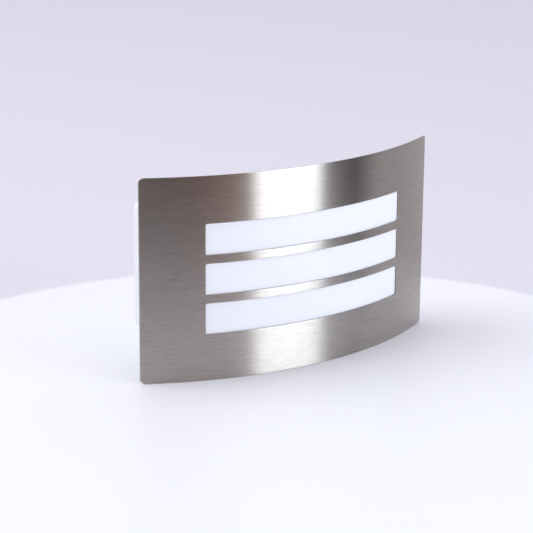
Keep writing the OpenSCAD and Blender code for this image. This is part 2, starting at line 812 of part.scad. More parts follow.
module earth_ring_terminal() {
    color([0.78, 0.78, 0.76]) translate([bracket_screw_x, 0, 0]) difference() {
        union() {
            from_wall(bracket_top_d) cylinder(r = ring_r, h = ring_t);
            translate([0, -barrel_d, barrel_z]) cylinder(r = barrel_r, h = barrel_len);
        }
        from_wall(bracket_top_d - over) cylinder(r = earth_screw_r + screw_gap / 2, h = ring_t + 2 * over);
        from_wall(bracket_top_d + ring_t) cylinder(r = earth_head_r + screw_gap, h = 2 * barrel_r);
        translate([0, -barrel_d, barrel_z - over]) cylinder(r = wire_r + wire_gap, h = barrel_len);
    }
}

// Wires, as points of x, distance from the wall and height

run_z = -body_h / 2 + wall_t + wire_run_in;
run_d = back_t + wire_run_up;
wire_start_z = block_z - clamp_screw_z + clamp_screw_r + wire_r;
wire_turn_z = block_z - block_h / 2 - 4;
wire_end_x = bracket_x - ledge_d + wire_r + wire_gap;
wire_end_z = terminal_off - terminal_head_r - 3 * wire_gap;

module live_wire() {
    color([0.45, 0.28, 0.16]) wire([
        [pole_x(0), clamp_d, wire_start_z], [pole_x(0), clamp_d, wire_turn_z],
        [pole_x(0) + 3, run_d + 1, run_z + 5], [pole_x(0) + 12, run_d, run_z],
        [92, run_d, run_z], [104, 14, run_z + 3], [108, 28, -30], [108, 37, -16],
        [105, lamp_d, -2], [101, lamp_d, wire_pitch / 2 - 0.3], [97, lamp_d, wire_pitch / 2],
        [bracket_x - dome_end_t - 2, lamp_d, wire_pitch / 2], [wire_end_x, lamp_d, wire_end_z]]);
}

module neutral_wire() {
    color([0.25, 0.42, 0.70]) wire([
        [pole_x(1), clamp_d, wire_start_z], [pole_x(1), clamp_d, wire_turn_z],
        [pole_x(1) + 2, run_d + wire_pitch + 1, run_z + 5], [pole_x(1) + 10, run_d + wire_pitch, run_z],
        [89, run_d + wire_pitch, run_z], [98, 16.5, run_z + 5], [101.5, 29, -28], [101.5, 37, -12],
        [99.5, lamp_d, -3], [96.5, lamp_d, -wire_pitch / 2],
        [bracket_x - dome_end_t - 2, lamp_d, -wire_pitch / 2], [wire_end_x, lamp_d, -wire_end_z]]);
}

module earth_wire() {
    color([0.45, 0.62, 0.25]) wire([
        [pole_x(2), clamp_d, wire_start_z], [pole_x(2), clamp_d, wire_turn_z],
        [pole_x(2) + 3, run_d + 1, run_z + wire_pitch + 4], [pole_x(2) + 10, run_d, run_z + wire_pitch],
        [76, run_d, run_z + wire_pitch], [84, 12, run_z + wire_pitch + 4], [92.5, 16.5, -27],
        [92.5, 16.5, -18], [bracket_screw_x - 4, barrel_d + 1.2, barrel_z - 5.5],
        [bracket_screw_x, barrel_d, barrel_z - 3], [bracket_screw_x, barrel_d, barrel_z + barrel_len / 2]]);
}

// Diffuser

module diffuser() {
    color([0.95, 0.96, 1.0]) difference() {
        union() {
            intersection() {
                body_prism(0, base_d, crown_d + over);
                inside_arc(diffuser_r, body_h + 2 * over);
            }
            body_frame(tongue_inset, tongue_w, base_d - tongue_h, base_d + foot_t);
        }
        body_prism(foot_w, base_d - over, base_d + foot_t + over);
        intersection() {
            body_prism(diffuser_t, base_d + foot_t, crown_d + over);
            inside_arc(diffuser_r - diffuser_t, body_h + 2 * over);
        }
    }
}

// Front panel and its clips

module front_panel() {
    color([0.66, 0.65, 0.65]) difference() {
        intersection() {
            from_wall(panel_stand_off / 2)
                linear_extrude(crown_d) round_rect(panel_w, panel_h, panel_corner_r);
            difference() {
                inside_arc(panel_r, panel_h + 2 * over);
                inside_arc(panel_r - sheet_t, panel_h + 4 * over);
            }
        }
        for (i = [0:slot_n - 1]) {
            translate([0, 0, (i - (slot_n - 1) / 2) * slot_step]) from_wall(panel_stand_off / 2)
                linear_extrude(crown_d) round_rect(slot_w, slot_h, slot_corner_r);
        }
    }
}

// A leg beside the body and a flange that follows the sheet. The leg's slot is open towards the wall.
module panel_clip() {
    inner_x = side_x + clip_side_gap;
    weld_r = panel_r - sheet_t - weld_gap;
    slot_r = side_screw_r + screw_gap;
    color([0.62, 0.62, 0.63]) difference() {
        intersection() {
            inside_arc(weld_r, clip_h + 2 * over);
            union() {
                block_between([inner_x, clip_stand_off, -clip_h / 2],
                              [inner_x + clip_t, crown_d, clip_h / 2]);
                difference() {
                    block_between([inner_x, panel_stand_off - over, -clip_h / 2],
                                  [inner_x + clip_flange, crown_d, clip_h / 2]);
                    inside_arc(weld_r - clip_t, clip_h + 2 * over);
                }
            }
        }
        at_side(1) cylinder(r = slot_r, h = washer_at + over);
        block_between([side_x, clip_stand_off - over, -slot_r],
                      [side_x + washer_at + over, side_screw_d, slot_r]);
    }
}

module panel_clip_left() {
    mirror([1, 0, 0]) panel_clip();
}

module panel_clip_right() {
    panel_clip();
}

// Side screws and washers

module side_washer(side) {
    color([0.70, 0.71, 0.72]) at_side(side, washer_at) difference() {
        cylinder(r = washer_r, h = washer_t);
        translate([0, 0, -over]) cylinder(r = side_screw_r + screw_gap / 2, h = washer_t + 2 * over);
    }
}

module side_screw(side) {
    color([0.70, 0.71, 0.72]) at_side(side, head_at) difference() {
        union() {
            translate([0, 0, -side_screw_len]) cylinder(r = side_screw_r, h = side_screw_len);
            screw_head(side_head_r, side_head_h);
        }
        translate([0, 0, side_head_h - side_socket_d])
            linear_extrude(side_socket_d + over) hexagon(side_socket_af);
    }
}

module side_washer_left() {
    side_washer(-1);
}

module side_washer_right() {
    side_washer(1);
}

module side_screw_left() {
    side_screw(-1);
}

module side_screw_right() {
    side_screw(1);
}

// Lamp

module lamp_centre_contact() {
    color([0.75, 0.72, 0.66]) along_lamp(lamp_at) cylinder(r = lamp_contact_r, h = lamp_contact_t);
}

module lamp_insulator() {
    color([0.10, 0.10, 0.11]) along_lamp(lamp_at + lamp_contact_t)
        cylinder(r1 = lamp_contact_r + 1, r2 = cap_in_r - cap_lip / 2, h = lamp_insulator_h);
}

module lamp_cap() {
    // Rolled ridges stand for the thread, at its pitch
    ridge = [[0, 0.1], [1, 0.35], [1, 0.65], [0, 0.9]];
    ridges = [for (i = [0:thread_turns - 1], p = ridge)
        [cap_root_r + p[0] * cap_thread_h, thread_start + (i + p[1]) * cap_pitch]];
    lip_r = cap_in_r - cap_lip;
    color([0.78, 0.78, 0.76]) along_lamp(lamp_at) rotate_extrude()
        polygon(concat([[lip_r, cap_start], [cap_root_r - cap_shoulder, cap_start],
                        [cap_root_r, thread_start]],
                       ridges,
                       [[cap_root_r, thread_end], [cap_r, thread_end + cap_thread_h], [cap_r, cap_len],
                        [cap_in_r, cap_len], [cap_in_r, cap_start + cap_t], [lip_r, cap_start + cap_t]]));
}

module lamp_body() {
    waist = cap_len + (lamp_body_len - cap_len) / 3;
    color([0.94, 0.94, 0.94]) along_lamp(lamp_at) rotate_extrude()
        polygon([[0, cap_len], [body_collar_r, cap_len], [body_collar_r + 1, cap_len + 2],
                 [body_collar_r + 2.5, waist], [body_rim_r, lamp_body_len - body_rim_t],
                 [body_rim_r, lamp_body_len], [0, lamp_body_len]]);
}

module diode() {
    linear_extrude(diode_t) square(diode_w, center = true);
}

module lamp_led_board() {
    // A round board with a ring of diodes and one in the middle
    ring_n = 8;
    color([0.90, 0.90, 0.88]) along_lamp(lamp_at + lamp_body_len) {
        cylinder(r = board_r, h = board_t);
        for (i = [0:ring_n - 1]) {
            rotate([0, 0, i * 360 / ring_n]) translate([board_r * 0.6, 0, board_t]) diode();
        }
        translate([0, 0, board_t]) diode();
    }
}

module lamp_globe() {
    color([0.96, 0.96, 0.95]) along_lamp(lamp_at + globe_mid) difference() {
        sphere(r = globe_r);
        sphere(r = globe_r - globe_t);
        translate([0, 0, -2 * globe_r + lamp_body_len - globe_mid])
            cube([4 * globe_r, 4 * globe_r, 4 * globe_r], center = true);
    }
}

base_housing();
wall_gasket();
base_seal();
cable_grommet();
side_inserts();
terminal_block();
terminal_clamps();
terminal_screws();
terminal_block_screw();
lampholder_bracket();
bracket_screws();
lampholder_nipple();
lampholder_nut();
lampholder_dome();
lampholder_insulator();
lampholder_sleeve();
lampholder_screw_shell();
lampholder_centre_contact();
lampholder_terminals();
earth_screw();
earth_nut();
earth_ring_terminal();
live_wire();
neutral_wire();
earth_wire();
diffuser();
front_panel();
panel_clip_left();
panel_clip_right();
side_washer_left();
side_screw_left();
side_washer_right();
side_screw_right();
lamp_centre_contact();
lamp_insulator();
lamp_cap();
lamp_body();
lamp_led_board();
lamp_globe();
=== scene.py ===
# %% [markdown]
# # A wall light with a curved steel front
#
# The real object is an outdoor wall light: a wide sheet of brushed stainless steel, bent to an arc
# and cut with three slots, stands in front of a satin opal cover on a white moulded base. One
# screw-in lamp lies flat inside. The solids come from a CAD model, which is loaded as a fixed frame
# in metres: x runs to the right, y into the wall and z up. This notebook gives every solid a finish
# of its own, and puts finer surfaces, worked out with numpy, in the place of the solids that need
# soft edges, threads or a smooth sweep.

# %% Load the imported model
import json
import math

import bmesh
import bpy
import numpy as np
from mathutils import Matrix, Vector

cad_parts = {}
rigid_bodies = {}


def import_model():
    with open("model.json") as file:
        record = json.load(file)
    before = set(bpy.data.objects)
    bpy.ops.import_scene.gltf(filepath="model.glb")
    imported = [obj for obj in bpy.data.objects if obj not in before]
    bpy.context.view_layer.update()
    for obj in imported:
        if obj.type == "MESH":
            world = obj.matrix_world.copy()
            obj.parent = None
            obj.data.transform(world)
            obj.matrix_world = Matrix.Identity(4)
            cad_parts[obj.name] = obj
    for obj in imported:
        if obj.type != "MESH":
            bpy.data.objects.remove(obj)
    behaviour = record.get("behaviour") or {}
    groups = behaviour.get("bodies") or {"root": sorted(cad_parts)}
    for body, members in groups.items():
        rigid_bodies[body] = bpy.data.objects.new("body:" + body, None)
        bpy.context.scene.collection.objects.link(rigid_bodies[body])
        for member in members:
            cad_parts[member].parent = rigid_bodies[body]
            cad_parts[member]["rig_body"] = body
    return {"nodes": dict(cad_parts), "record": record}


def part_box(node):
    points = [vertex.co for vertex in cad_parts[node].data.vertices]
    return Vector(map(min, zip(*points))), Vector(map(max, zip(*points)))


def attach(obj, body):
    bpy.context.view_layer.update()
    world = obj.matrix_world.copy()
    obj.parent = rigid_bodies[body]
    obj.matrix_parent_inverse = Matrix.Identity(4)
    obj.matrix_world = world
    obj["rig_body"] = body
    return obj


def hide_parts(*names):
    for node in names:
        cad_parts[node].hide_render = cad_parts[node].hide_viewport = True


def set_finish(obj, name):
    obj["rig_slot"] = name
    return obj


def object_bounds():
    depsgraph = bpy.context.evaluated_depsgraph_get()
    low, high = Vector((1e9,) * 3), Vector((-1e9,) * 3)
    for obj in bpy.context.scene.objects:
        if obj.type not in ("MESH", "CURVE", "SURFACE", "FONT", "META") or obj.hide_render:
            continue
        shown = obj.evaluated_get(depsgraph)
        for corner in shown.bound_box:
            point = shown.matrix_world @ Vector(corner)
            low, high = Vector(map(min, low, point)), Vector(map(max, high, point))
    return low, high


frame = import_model()
cad_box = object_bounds()
nodes = frame["nodes"]
body_of = {node: solid["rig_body"] for node, solid in nodes.items()}
slot_of = {part["node"]: part["material_slot"] for part in frame["record"]["subparts"]}
MM = 0.001
print(len(nodes), "nodes;", "finishes:", sorted(set(slot_of.values())))

# %% [markdown]
# ## The camera
#
# The photograph was taken from the left and a little above, with a long lens, which keeps the
# panel's upright edges nearly parallel. A camera placed by eye never gives quite the same picture,
# so its place and angles were fitted to points on the panel's edges and slots.

# %% Put the camera where the photograph was taken
FILM_WIDTH, FOCAL_LENGTH = 36, 127.51
CAMERA_PLACE = (-0.8988, -1.2230, 0.4046)
TURN_RIGHT, LOOK_DOWN, ROLL = (math.radians(angle) for angle in (36.679, 15.644, 0.452))


def new_object(name, data):
    """An object of a mesh, a lamp or a camera, linked to the scene."""
    made = bpy.data.objects.new(name, data)
    bpy.context.scene.collection.objects.link(made)
    return made


lens = bpy.data.cameras.new("camera")
lens.sensor_width = FILM_WIDTH
lens.lens = FOCAL_LENGTH
lens.clip_start = 0.05
camera = new_object("camera", lens)
bpy.context.scene.camera = camera
camera.matrix_world = (Matrix.Translation(CAMERA_PLACE)
                       @ Matrix.Rotation(-TURN_RIGHT, 4, "Z")
                       @ Matrix.Rotation(math.radians(90) - LOOK_DOWN, 4, "X")
                       @ Matrix.Rotation(ROLL, 4, "Z"))
print("camera at", tuple(round(c, 3) for c in camera.location))

# %% [markdown]
# ## Writing shaders as sums
#
# A finish is a network of small nodes. Drawn by hand it is hard to read, so Python writes it here.
# `Value` stands for a node's output and understands + - * / and **, so that a formula on values
# becomes Math nodes.

# %% Values
class Value:
    """An output socket. Signs between it and a number, or another value, add Math nodes."""

    def __init__(self, recipe, socket):
        self.recipe, self.socket = recipe, socket

    def math(self, operation, *numbers):
        """A Math node on these numbers or values, in their order."""
        return self.recipe.node("ShaderNodeMath", {"operation": operation},
                                dict(enumerate(numbers)))

    def __add__(self, other):
        return self.math("ADD", self, other)

    def __sub__(self, other):
        return self.math("SUBTRACT", self, other)

    def __rsub__(self, other):
        return self.math("SUBTRACT", other, self)

    def __mul__(self, other):
        return self.math("MULTIPLY", self, other)

    def __truediv__(self, other):
        return self.math("DIVIDE", self, other)

    def __pow__(self, other):
        return self.math("POWER", self, other)

    __radd__ = __add__
    __rmul__ = __mul__


print("values understand + - * / **")

# %% [markdown]
# ## Recipes
#
# `Recipe` is the tree that the nodes go into. Its method `node` makes any node: the settings first,
# because they decide which sockets there are, and then the sockets' numbers or links.

# %% Recipes
class Recipe:
    """A node tree that is being filled in."""

    def __init__(self, tree):
        self.tree = tree
        tree.nodes.clear()

    def node(self, kind, settings=None, inputs=None, output=0):
        """Any node: its settings, then its sockets. Returns one output as a value, or the node
        itself where it has none."""
        made = self.tree.nodes.new(kind)
        for name, setting in (settings or {}).items():
            if name == "stops":
                self.put_stops(made.color_ramp, setting)
            else:
                setattr(made, name, setting)
        for name, value in (inputs or {}).items():
            if isinstance(value, Value):
                self.tree.links.new(value.socket, made.inputs[name])
            else:
                made.inputs[name].default_value = value
        return Value(self, made.outputs[output]) if len(made.outputs) else made

    @staticmethod
    def put_stops(ramp, stops):
        """Fills a colour ramp with (place, colour) stops."""
        while len(ramp.elements) < len(stops):
            ramp.elements.new(1)
        for element, (place, colour) in zip(ramp.elements, stops):
            element.position = place
            element.color = (*colour, 1)

    def mix(self, factor, first, second):
        """The colour first + factor (second - first). The Mix node has its two colours on the
        sockets 6 and 7 and the mixed one on output 2."""
        colours = {6: first, 7: second}
        solid = {key: (*c, 1) if isinstance(c, tuple) else c for key, c in colours.items()}
        return self.node("ShaderNodeMix", {"data_type": "RGBA"}, {0: factor, **solid}, output=2)

    def smooth_step(self, value, low, high):
        """0 below low, 1 above high and an s-curve between them."""
        return self.node("ShaderNodeMapRange", {"interpolation_type": "SMOOTHSTEP"},
                         {"Value": value, "From Min": low, "From Max": high})

    def place(self, stretch=(1, 1, 1)):
        """The point on the piece in metres, multiplied by a number along each axis."""
        here = self.node("ShaderNodeTexCoord", output="Object")
        return self.node("ShaderNodeMapping", {}, {"Vector": here, "Scale": stretch})

    def along(self, axis, point):
        """One coordinate, X, Y or Z, of a point."""
        return self.node("ShaderNodeSeparateXYZ", {}, {0: point}, output=axis)

    def noise(self, scale=1.0, detail=2.0, roughness=0.5, stretch=(1, 1, 1)):
        """Cloudy noise on the piece, from 0 to 1 and mostly near 0.5."""
        return self.node("ShaderNodeTexNoise", {},
                         {"Vector": self.place(stretch), "Scale": scale, "Detail": detail,
                          "Roughness": roughness})

    def cells(self, scale, output="Distance"):
        """Scattered points: the distance to the nearest one, or a random colour for each one."""
        return self.node("ShaderNodeTexVoronoi", {}, {"Vector": self.place(), "Scale": scale},
                         output=output)

    def bump(self, height, distance):
        """A surface normal tilted as if the surface were raised by height times distance."""
        return self.node("ShaderNodeBump", {}, {"Height": height, "Distance": distance})


print("a recipe can hold any node")

# %% [markdown]
# ### The recipe of one material
#
# Each finish ends in the Principled shader. Metal and plastic could have shaders of their own
# kinds, but this one suits both, so only its numbers change.

# %% Finishes
class Finish(Recipe):
    """A material with one Principled shader."""

    def __init__(self, name):
        self.material = bpy.data.materials.new(name)
        self.material.use_nodes = True
        super().__init__(self.material.node_tree)

    def surface(self, base, rough, metal=0.0, **others):
        """Ends the recipe with the shader. An underscore in another socket's name is a space."""
        if isinstance(base, tuple):
            base = (*base, 1)
        names = {name.replace("_", " "): value for name, value in others.items()}
        shader = self.node("ShaderNodeBsdfPrincipled", {},
                           {"Base Color": base, "Roughness": rough, "Metallic": metal, **names})
        self.node("ShaderNodeOutputMaterial", {}, {"Surface": shader})
        return self.material


print("a finish ends in one shader")

# %% [markdown]
# ## The table and the floor
#
# Brushed steel shows its surroundings more than itself, so the studio decides how the front looks.
# The lower part of the panel is lighter, because it sees the white table. A floor that reached to
# the horizon would fill the whole mirror image, so the floor beyond a table-sized disc is hidden
# from mirror images.

# %% The floor's finish
TABLE = (0.885, 0.90, 0.98)
BACKDROP = (0.735, 0.725, 0.835)
PAPER_ROUGHNESS = 0.42
TABLE_MIDDLE = (-0.061, -0.127)
TABLE_R = 0.35
FADE_INSIDE, FADE_OUTSIDE = 4 * MM, 8 * MM
BACKDROP_FADES_IN = 0.2


def floor_finish():
    """Pale paper that turns into the wall's lavender behind the table, as the camera sees it: where
    the distance from the table's middle is over its radius, and the way from the middle in the
    camera's direction is positive."""
    finish = Finish("floor")
    here = finish.place()
    x = finish.along("X", here) - TABLE_MIDDLE[0]
    y = finish.along("Y", here) - TABLE_MIDDLE[1]
    behind = x * math.sin(TURN_RIGHT) + y * math.cos(TURN_RIGHT)
    is_behind = finish.smooth_step(behind, 0.0, BACKDROP_FADES_IN)
    outside = finish.smooth_step((x * x + y * y) ** 0.5,
                                 TABLE_R - FADE_INSIDE, TABLE_R + FADE_OUTSIDE)
    return finish.surface(finish.mix(is_behind * outside, TABLE, BACKDROP), PAPER_ROUGHNESS)


floor = floor_finish()
print("the floor's finish has", len(floor.node_tree.nodes), "nodes")

# %% Table and floor
CUT_BEARING, CUT_AT = math.radians(20), 0.37
FLOOR_REACH, FLOOR_BELOW_TABLE = 20, 0.02 * MM


def flat_sheet(name, outline, height):
    """One flat face through points of an outline at one height."""
    mesh = bpy.data.meshes.new(name)
    corners = np.column_stack([outline, np.full(len(outline), height)])
    mesh.from_pydata(corners.tolist(), [], [list(range(len(corners)))])
    piece = new_object(name, mesh)
    mesh.materials.append(floor)
    return piece


floor_height = cad_box[0].z
bearings = np.radians(np.arange(0, 360, 2))
table_edge = TABLE_MIDDLE + TABLE_R * np.column_stack([np.cos(bearings), np.sin(bearings)])
# the table's mirror image ends early at the front left, so the table is cut straight there
to_cut = np.array([-math.sin(CUT_BEARING), -math.cos(CUT_BEARING)])
table_edge -= np.maximum(table_edge @ to_cut - CUT_AT, 0)[:, None] * to_cut
table = flat_sheet("table", table_edge, floor_height)
floor_corners = FLOOR_REACH * np.array([(-1, -1), (1, -1), (1, 1), (-1, 1)])
far_floor = flat_sheet("far_floor", floor_corners, floor_height - FLOOR_BELOW_TABLE)
far_floor.visible_glossy = False
print("floor at", round(floor_height, 4))

# %% [markdown]
# ## The room
#
# Beyond the table the steel mirrors the room. A photographed surrounding would do, but a few
# colours by compass direction are enough for a blurred image, and each can be changed alone. The
# warm stops in front make the brown tones on the left of the panel, the dark one at 55 degrees the
# shade right of the bright band, and the pale ones the grey end on the right. The camera itself
# sees the backdrop's plain colour.

# %% The room, by compass direction
def seen_at(degrees_right_of_front):
    """The compass value of a direction: 0 is straight behind the object, 0.25 its left, 0.5 in
    front of it and 0.75 its right."""
    return 0.5 + degrees_right_of_front / 360


ROOM = {
    -180: (0.62, 0.62, 0.66),
    -105: (1.30, 1.30, 1.33),
    -55: (0.12, 0.09, 0.08),
    -16: (0.065, 0.020, 0.005),
    -3: (0.14, 0.035, 0.005),
    6: (0.29, 0.165, 0.11),
    44: (0.27, 0.255, 0.28),
    55: (0.02, 0.01, 0.01),
    66: (0.52, 0.50, 0.525),
    100: (0.64, 0.61, 0.65),
    140: (0.66, 0.66, 0.70)}
CEILING = (1.10, 1.10, 1.13)
CEILING_STARTS, CEILING_FULL = 0.45, 0.9

world = bpy.data.worlds.new("studio")
bpy.context.scene.world = world
world.use_nodes = True
sky = Recipe(world.node_tree)
direction = sky.node("ShaderNodeTexCoord", output="Generated")
x, y, z = (sky.along(axis, direction) for axis in "XYZ")
compass = x.math("ARCTAN2", -1 * x, y) / (2 * math.pi)
compass = compass.math("FRACT", compass + 1)
stops = [(seen_at(degrees), colour) for degrees, colour in ROOM.items()]
room = sky.node("ShaderNodeValToRGB", {"stops": stops}, {0: compass})
lit_room = sky.mix(sky.smooth_step(z, CEILING_STARTS, CEILING_FULL), room, CEILING)
in_view = sky.node("ShaderNodeLightPath", output="Is Camera Ray")
shining = sky.node("ShaderNodeBackground", {},
                   {"Color": sky.mix(in_view, lit_room, BACKDROP), "Strength": 1.0})
sky.node("ShaderNodeOutputWorld", {}, {"Surface": shining})
bpy.context.scene.view_settings.view_transform = "Standard"
print("world has", len(world.node_tree.nodes), "nodes")

# %% [markdown]
# ## The lamps
#
# The bright upright band on the panel is the mirror image of one wide softbox at the front right.
# A larger, weaker one stands high on the left and lights the housing and the table. Both are area
# lamps, because a small lamp would make hard shadows and a thin streak on the steel.

# %% Softboxes
AIM = Vector((0, -0.06, 0))


def softbox(name, azimuth, elevation, distance, width, height, strength, colour):
    """A rectangular lamp that faces the object. Azimuth is in degrees to the right of straight in
    front. Strength is the brightness of its surface, and white paper's is 1: the power is strength
    times pi times width times height."""
    light = bpy.data.lights.new(name, "AREA")
    light.shape = "RECTANGLE"
    light.size, light.size_y = width, height
    light.color = colour
    light.energy = strength * math.pi * width * height
    lamp = new_object(name, light)
    a, e = math.radians(azimuth), math.radians(elevation)
    reach = distance * Vector((math.sin(a) * math.cos(e), -math.cos(a) * math.cos(e), math.sin(e)))
    lamp.location = AIM + reach
    lamp.rotation_euler = reach.to_track_quat("Z", "Y").to_euler()
    return lamp


front_box = softbox("front_softbox", azimuth=24.2, elevation=5, distance=2.4, width=1.15,
                    height=0.62, strength=13.7, colour=(0.86, 0.935, 1.0))
left_box = softbox("left_softbox", azimuth=-120, elevation=50, distance=3.2, width=2.7,
                   height=2.1, strength=1.8, colour=(1.0, 0.995, 0.98))
print("lamps:", front_box.name, left_box.name)

# %% [markdown]
# ## Surfaces from numpy
#
# Most pieces of this light are made in one of three ways: a flat sheet is punched and bent, a
# moulding follows the body's rounded outline, and round parts are turned. All three are grids of
# points: one index runs round a loop and the other across it. `piece` makes a mesh of them, which
# takes the place of its CAD node.

# %% Grids and meshes
SAME_POINT = 0.5e-6
NEARLY_FLAT = math.radians(0.5)


def grid_faces(rows, columns):
    """Four-sided faces between neighbouring points of a grid whose columns close into a loop."""
    row = np.arange(rows - 1)[:, None]
    column = np.arange(columns)[None, :]
    next_column = (column + 1) % columns
    here, below = row * columns, (row + 1) * columns
    corners = here + column, here + next_column, below + next_column, below + column
    return np.stack(np.broadcast_arrays(*corners), -1).reshape(-1, 4)


def tidy_mesh(mesh, sharp, flat=False):
    """Merges doubles, turns the faces outwards, and shades smoothly except over edges sharper than
    so many degrees. Where flat is set, the triangles of each flat face become one face."""
    shape = bmesh.new()
    shape.from_mesh(mesh)
    bmesh.ops.remove_doubles(shape, verts=shape.verts, dist=SAME_POINT)
    if flat:
        bmesh.ops.dissolve_limit(shape, angle_limit=NEARLY_FLAT, verts=shape.verts,
                                 edges=shape.edges)
    bmesh.ops.recalc_face_normals(shape, faces=shape.faces)
    shape.to_mesh(mesh)
    shape.free()
    mesh.shade_smooth()
    mesh.set_sharp_from_angle(angle=math.radians(sharp))


print("a grid of 3 x 4 points has", len(grid_faces(3, 4)), "faces")


# %% From grids to a piece
def take_place(made, stands_for):
    """Puts a piece in the place of CAD nodes, whose body and finish it takes."""
    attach(made, body_of[stands_for[0]])
    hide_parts(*stands_for)
    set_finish(made, slot_of[stands_for[0]])


def piece(name, grids, stands_for, sharp=40, attribute=None):
    """Joins grids of points, each rows x columns x 3 in metres, into one piece, closes its seams
    and poles, and puts it in the place of CAD nodes. An attribute is a name and one number for
    each point."""
    mesh = bpy.data.meshes.new(name)
    start, faces = 0, []
    for grid in grids:
        faces.append(grid_faces(grid.shape[0], grid.shape[1]) + start)
        start += grid.shape[0] * grid.shape[1]
    points = np.concatenate([grid.reshape(-1, 3) for grid in grids])
    mesh.from_pydata(points.tolist(), [], np.concatenate(faces).tolist())
    if attribute:
        numbers = mesh.attributes.new(attribute[0], "FLOAT", "POINT").data
        numbers.foreach_set("value", attribute[1])
    made = new_object(name, mesh)
    tidy_mesh(mesh, sharp)
    take_place(made, stands_for)
    print(name, len(mesh.polygons), "faces")


print("piece helpers are ready")

# %% [markdown]
# ## Loops with round corners
#
# The panel, its slots and the body are all rectangles with round corners. Drawn as arcs and lines,
# two loops of different size would have no points that belong together. Here the points lie on a
# plain rectangle first, and the ones near a corner are then moved onto its arc, so any two loops
# match and a surface can be stretched between them.

# %% Loops
CORNER_STEPS = 6
TINY = 1e-9


def side_places(half, corner, count):
    """Places along one side, from -half to half. Within a corner's length they lie at the tangents
    of even angles, so that round_off lays them evenly on the arc."""
    end = half - corner + corner * np.tan(np.radians(np.linspace(0, 45, CORNER_STEPS)))
    middle = np.linspace(corner - half, half - corner, count)
    return np.concatenate([-end[:0:-1], middle, end[1:]])


def border(xs, zs):
    """Once round a rectangle, clockwise from its top left corner, through the given places along
    its sides."""
    low_x, high_x = np.full(len(zs) - 1, xs[0]), np.full(len(zs) - 1, xs[-1])
    low_z, high_z = np.full(len(xs) - 1, zs[0]), np.full(len(xs) - 1, zs[-1])
    sides = [(xs[:-1], high_z), (high_x, zs[:0:-1]), (xs[:0:-1], low_z), (low_x, zs[:-1])]
    return np.concatenate([np.column_stack(side) for side in sides])


def round_off(loop, half, radius):
    """Points of a rectangle's border that lie within a corner move, straight out of the arc's
    middle, onto the arc."""
    middle = np.sign(loop) * (half - radius)
    away = loop - middle
    length = np.linalg.norm(away, axis=1, keepdims=True)
    in_corner = (np.abs(loop) > half - radius).all(axis=1, keepdims=True)
    return np.where(in_corner, middle + away * radius / np.maximum(length, TINY), loop)


def rounded_box(half, corner, across, upright):
    """A rectangle's loop with round corners, and so many places along its straight sides."""
    places = side_places(half[0], corner, across), side_places(half[1], corner, upright)
    return round_off(border(*places), half, corner)


print("loops with", CORNER_STEPS, "places to half a corner")


# %% Curves at the corners of a profile
def corner_curves(before, corner, after, reach, steps):
    """Each corner c becomes the curve (1-t)^2 p + 2t(1-t) c + t^2 q, between points p and q that
    lie a reach, or at most 0.45 of the way, along its two sides."""
    def on_side(side):
        length = np.linalg.norm(side, axis=1, keepdims=True)
        return (corner + side * np.minimum(reach / np.maximum(length, TINY), 0.45))[:, None]

    t = np.linspace(0, 1, steps)[None, :, None]
    p, q = on_side(before - corner), on_side(after - corner)
    curves = (1 - t) ** 2 * p + 2 * t * (1 - t) * corner[:, None] + t ** 2 * q
    return curves.reshape(-1, corner.shape[1])


def rounded(corners, radii):
    """A closed outline with a curve of four points in the place of each corner."""
    corner = np.asarray(corners, float)
    reach = np.broadcast_to(np.asarray(radii, float), len(corner))[:, None]
    return corner_curves(np.roll(corner, 1, axis=0), corner, np.roll(corner, -1, axis=0), reach, 4)


print("a rounded triangle has", len(rounded([(0, 0), (0, 1), (1, 0)], 0.1)), "points")

# %% [markdown]
# ## The front panel
#
# On the real light this is a 0.8 mm sheet, laser cut and then rolled. It could be a bevelled copy
# of the CAD solid, but its long flat facets would break the reflection into strips. Here it is one
# grid in the plane of the sheet that is rolled by a formula: a point keeps its x, and its distance
# from the wall is that of a circle, which follows from the panel's half width and its bulge.

# %% Sizes of the panel, from the frame
panel_low, panel_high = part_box("front_panel")
PANEL_HALF = np.array([panel_high.x, panel_high.z])
PANEL_BULGE = 39 * MM
CROWN = -panel_low.y
ARC_R = (PANEL_HALF[0] ** 2 + PANEL_BULGE ** 2) / (2 * PANEL_BULGE)
SHEET_T = 0.8 * MM
PANEL_CORNER = 4 * MM
SLOT_HALF = np.array([97, 12.5]) * MM
SLOT_CORNER = 1.5 * MM
SLOT_STEP = 32 * MM


def rolled(points, radius):
    """Points (x, z) on a circle about the panel's upright axis: y is the axis's y less the root of
    radius squared minus x squared."""
    x, z = points[..., 0], points[..., 1]
    axis_y = ARC_R - CROWN
    return np.stack([x, axis_y - np.sqrt(radius ** 2 - x ** 2), z], axis=-1)


print("arc radius", round(ARC_R / MM, 2), "mm; panel", PANEL_HALF / MM * 2)

# %% [markdown]
# ### The sheet's cut edges
#
# A laser leaves a sharp edge, and the sheet is deburred before it is rolled. The rounds are small,
# but catch the light as thin bright lines. A Bevel modifier would do, but here a few more rows of
# each loop make exact quarter circles. Each slot has its loops inside a rectangular cell of the
# sheet, and a ring of loops leads from the three cells to the outline.

# %% Loops of the slots and of the outline
EDGE_ROUND = 0.18 * MM
BESIDE_EDGE = 0.7 * MM
SIDE_COUNT, END_COUNT = 91, 7
CELL_X = 110 * MM
CELL_EDGES = np.array([-55, -16, 16, 55]) * MM
CELL_CORNER = 6 * MM
SLOT_ROWS, FRAME_ROWS = 6, 14


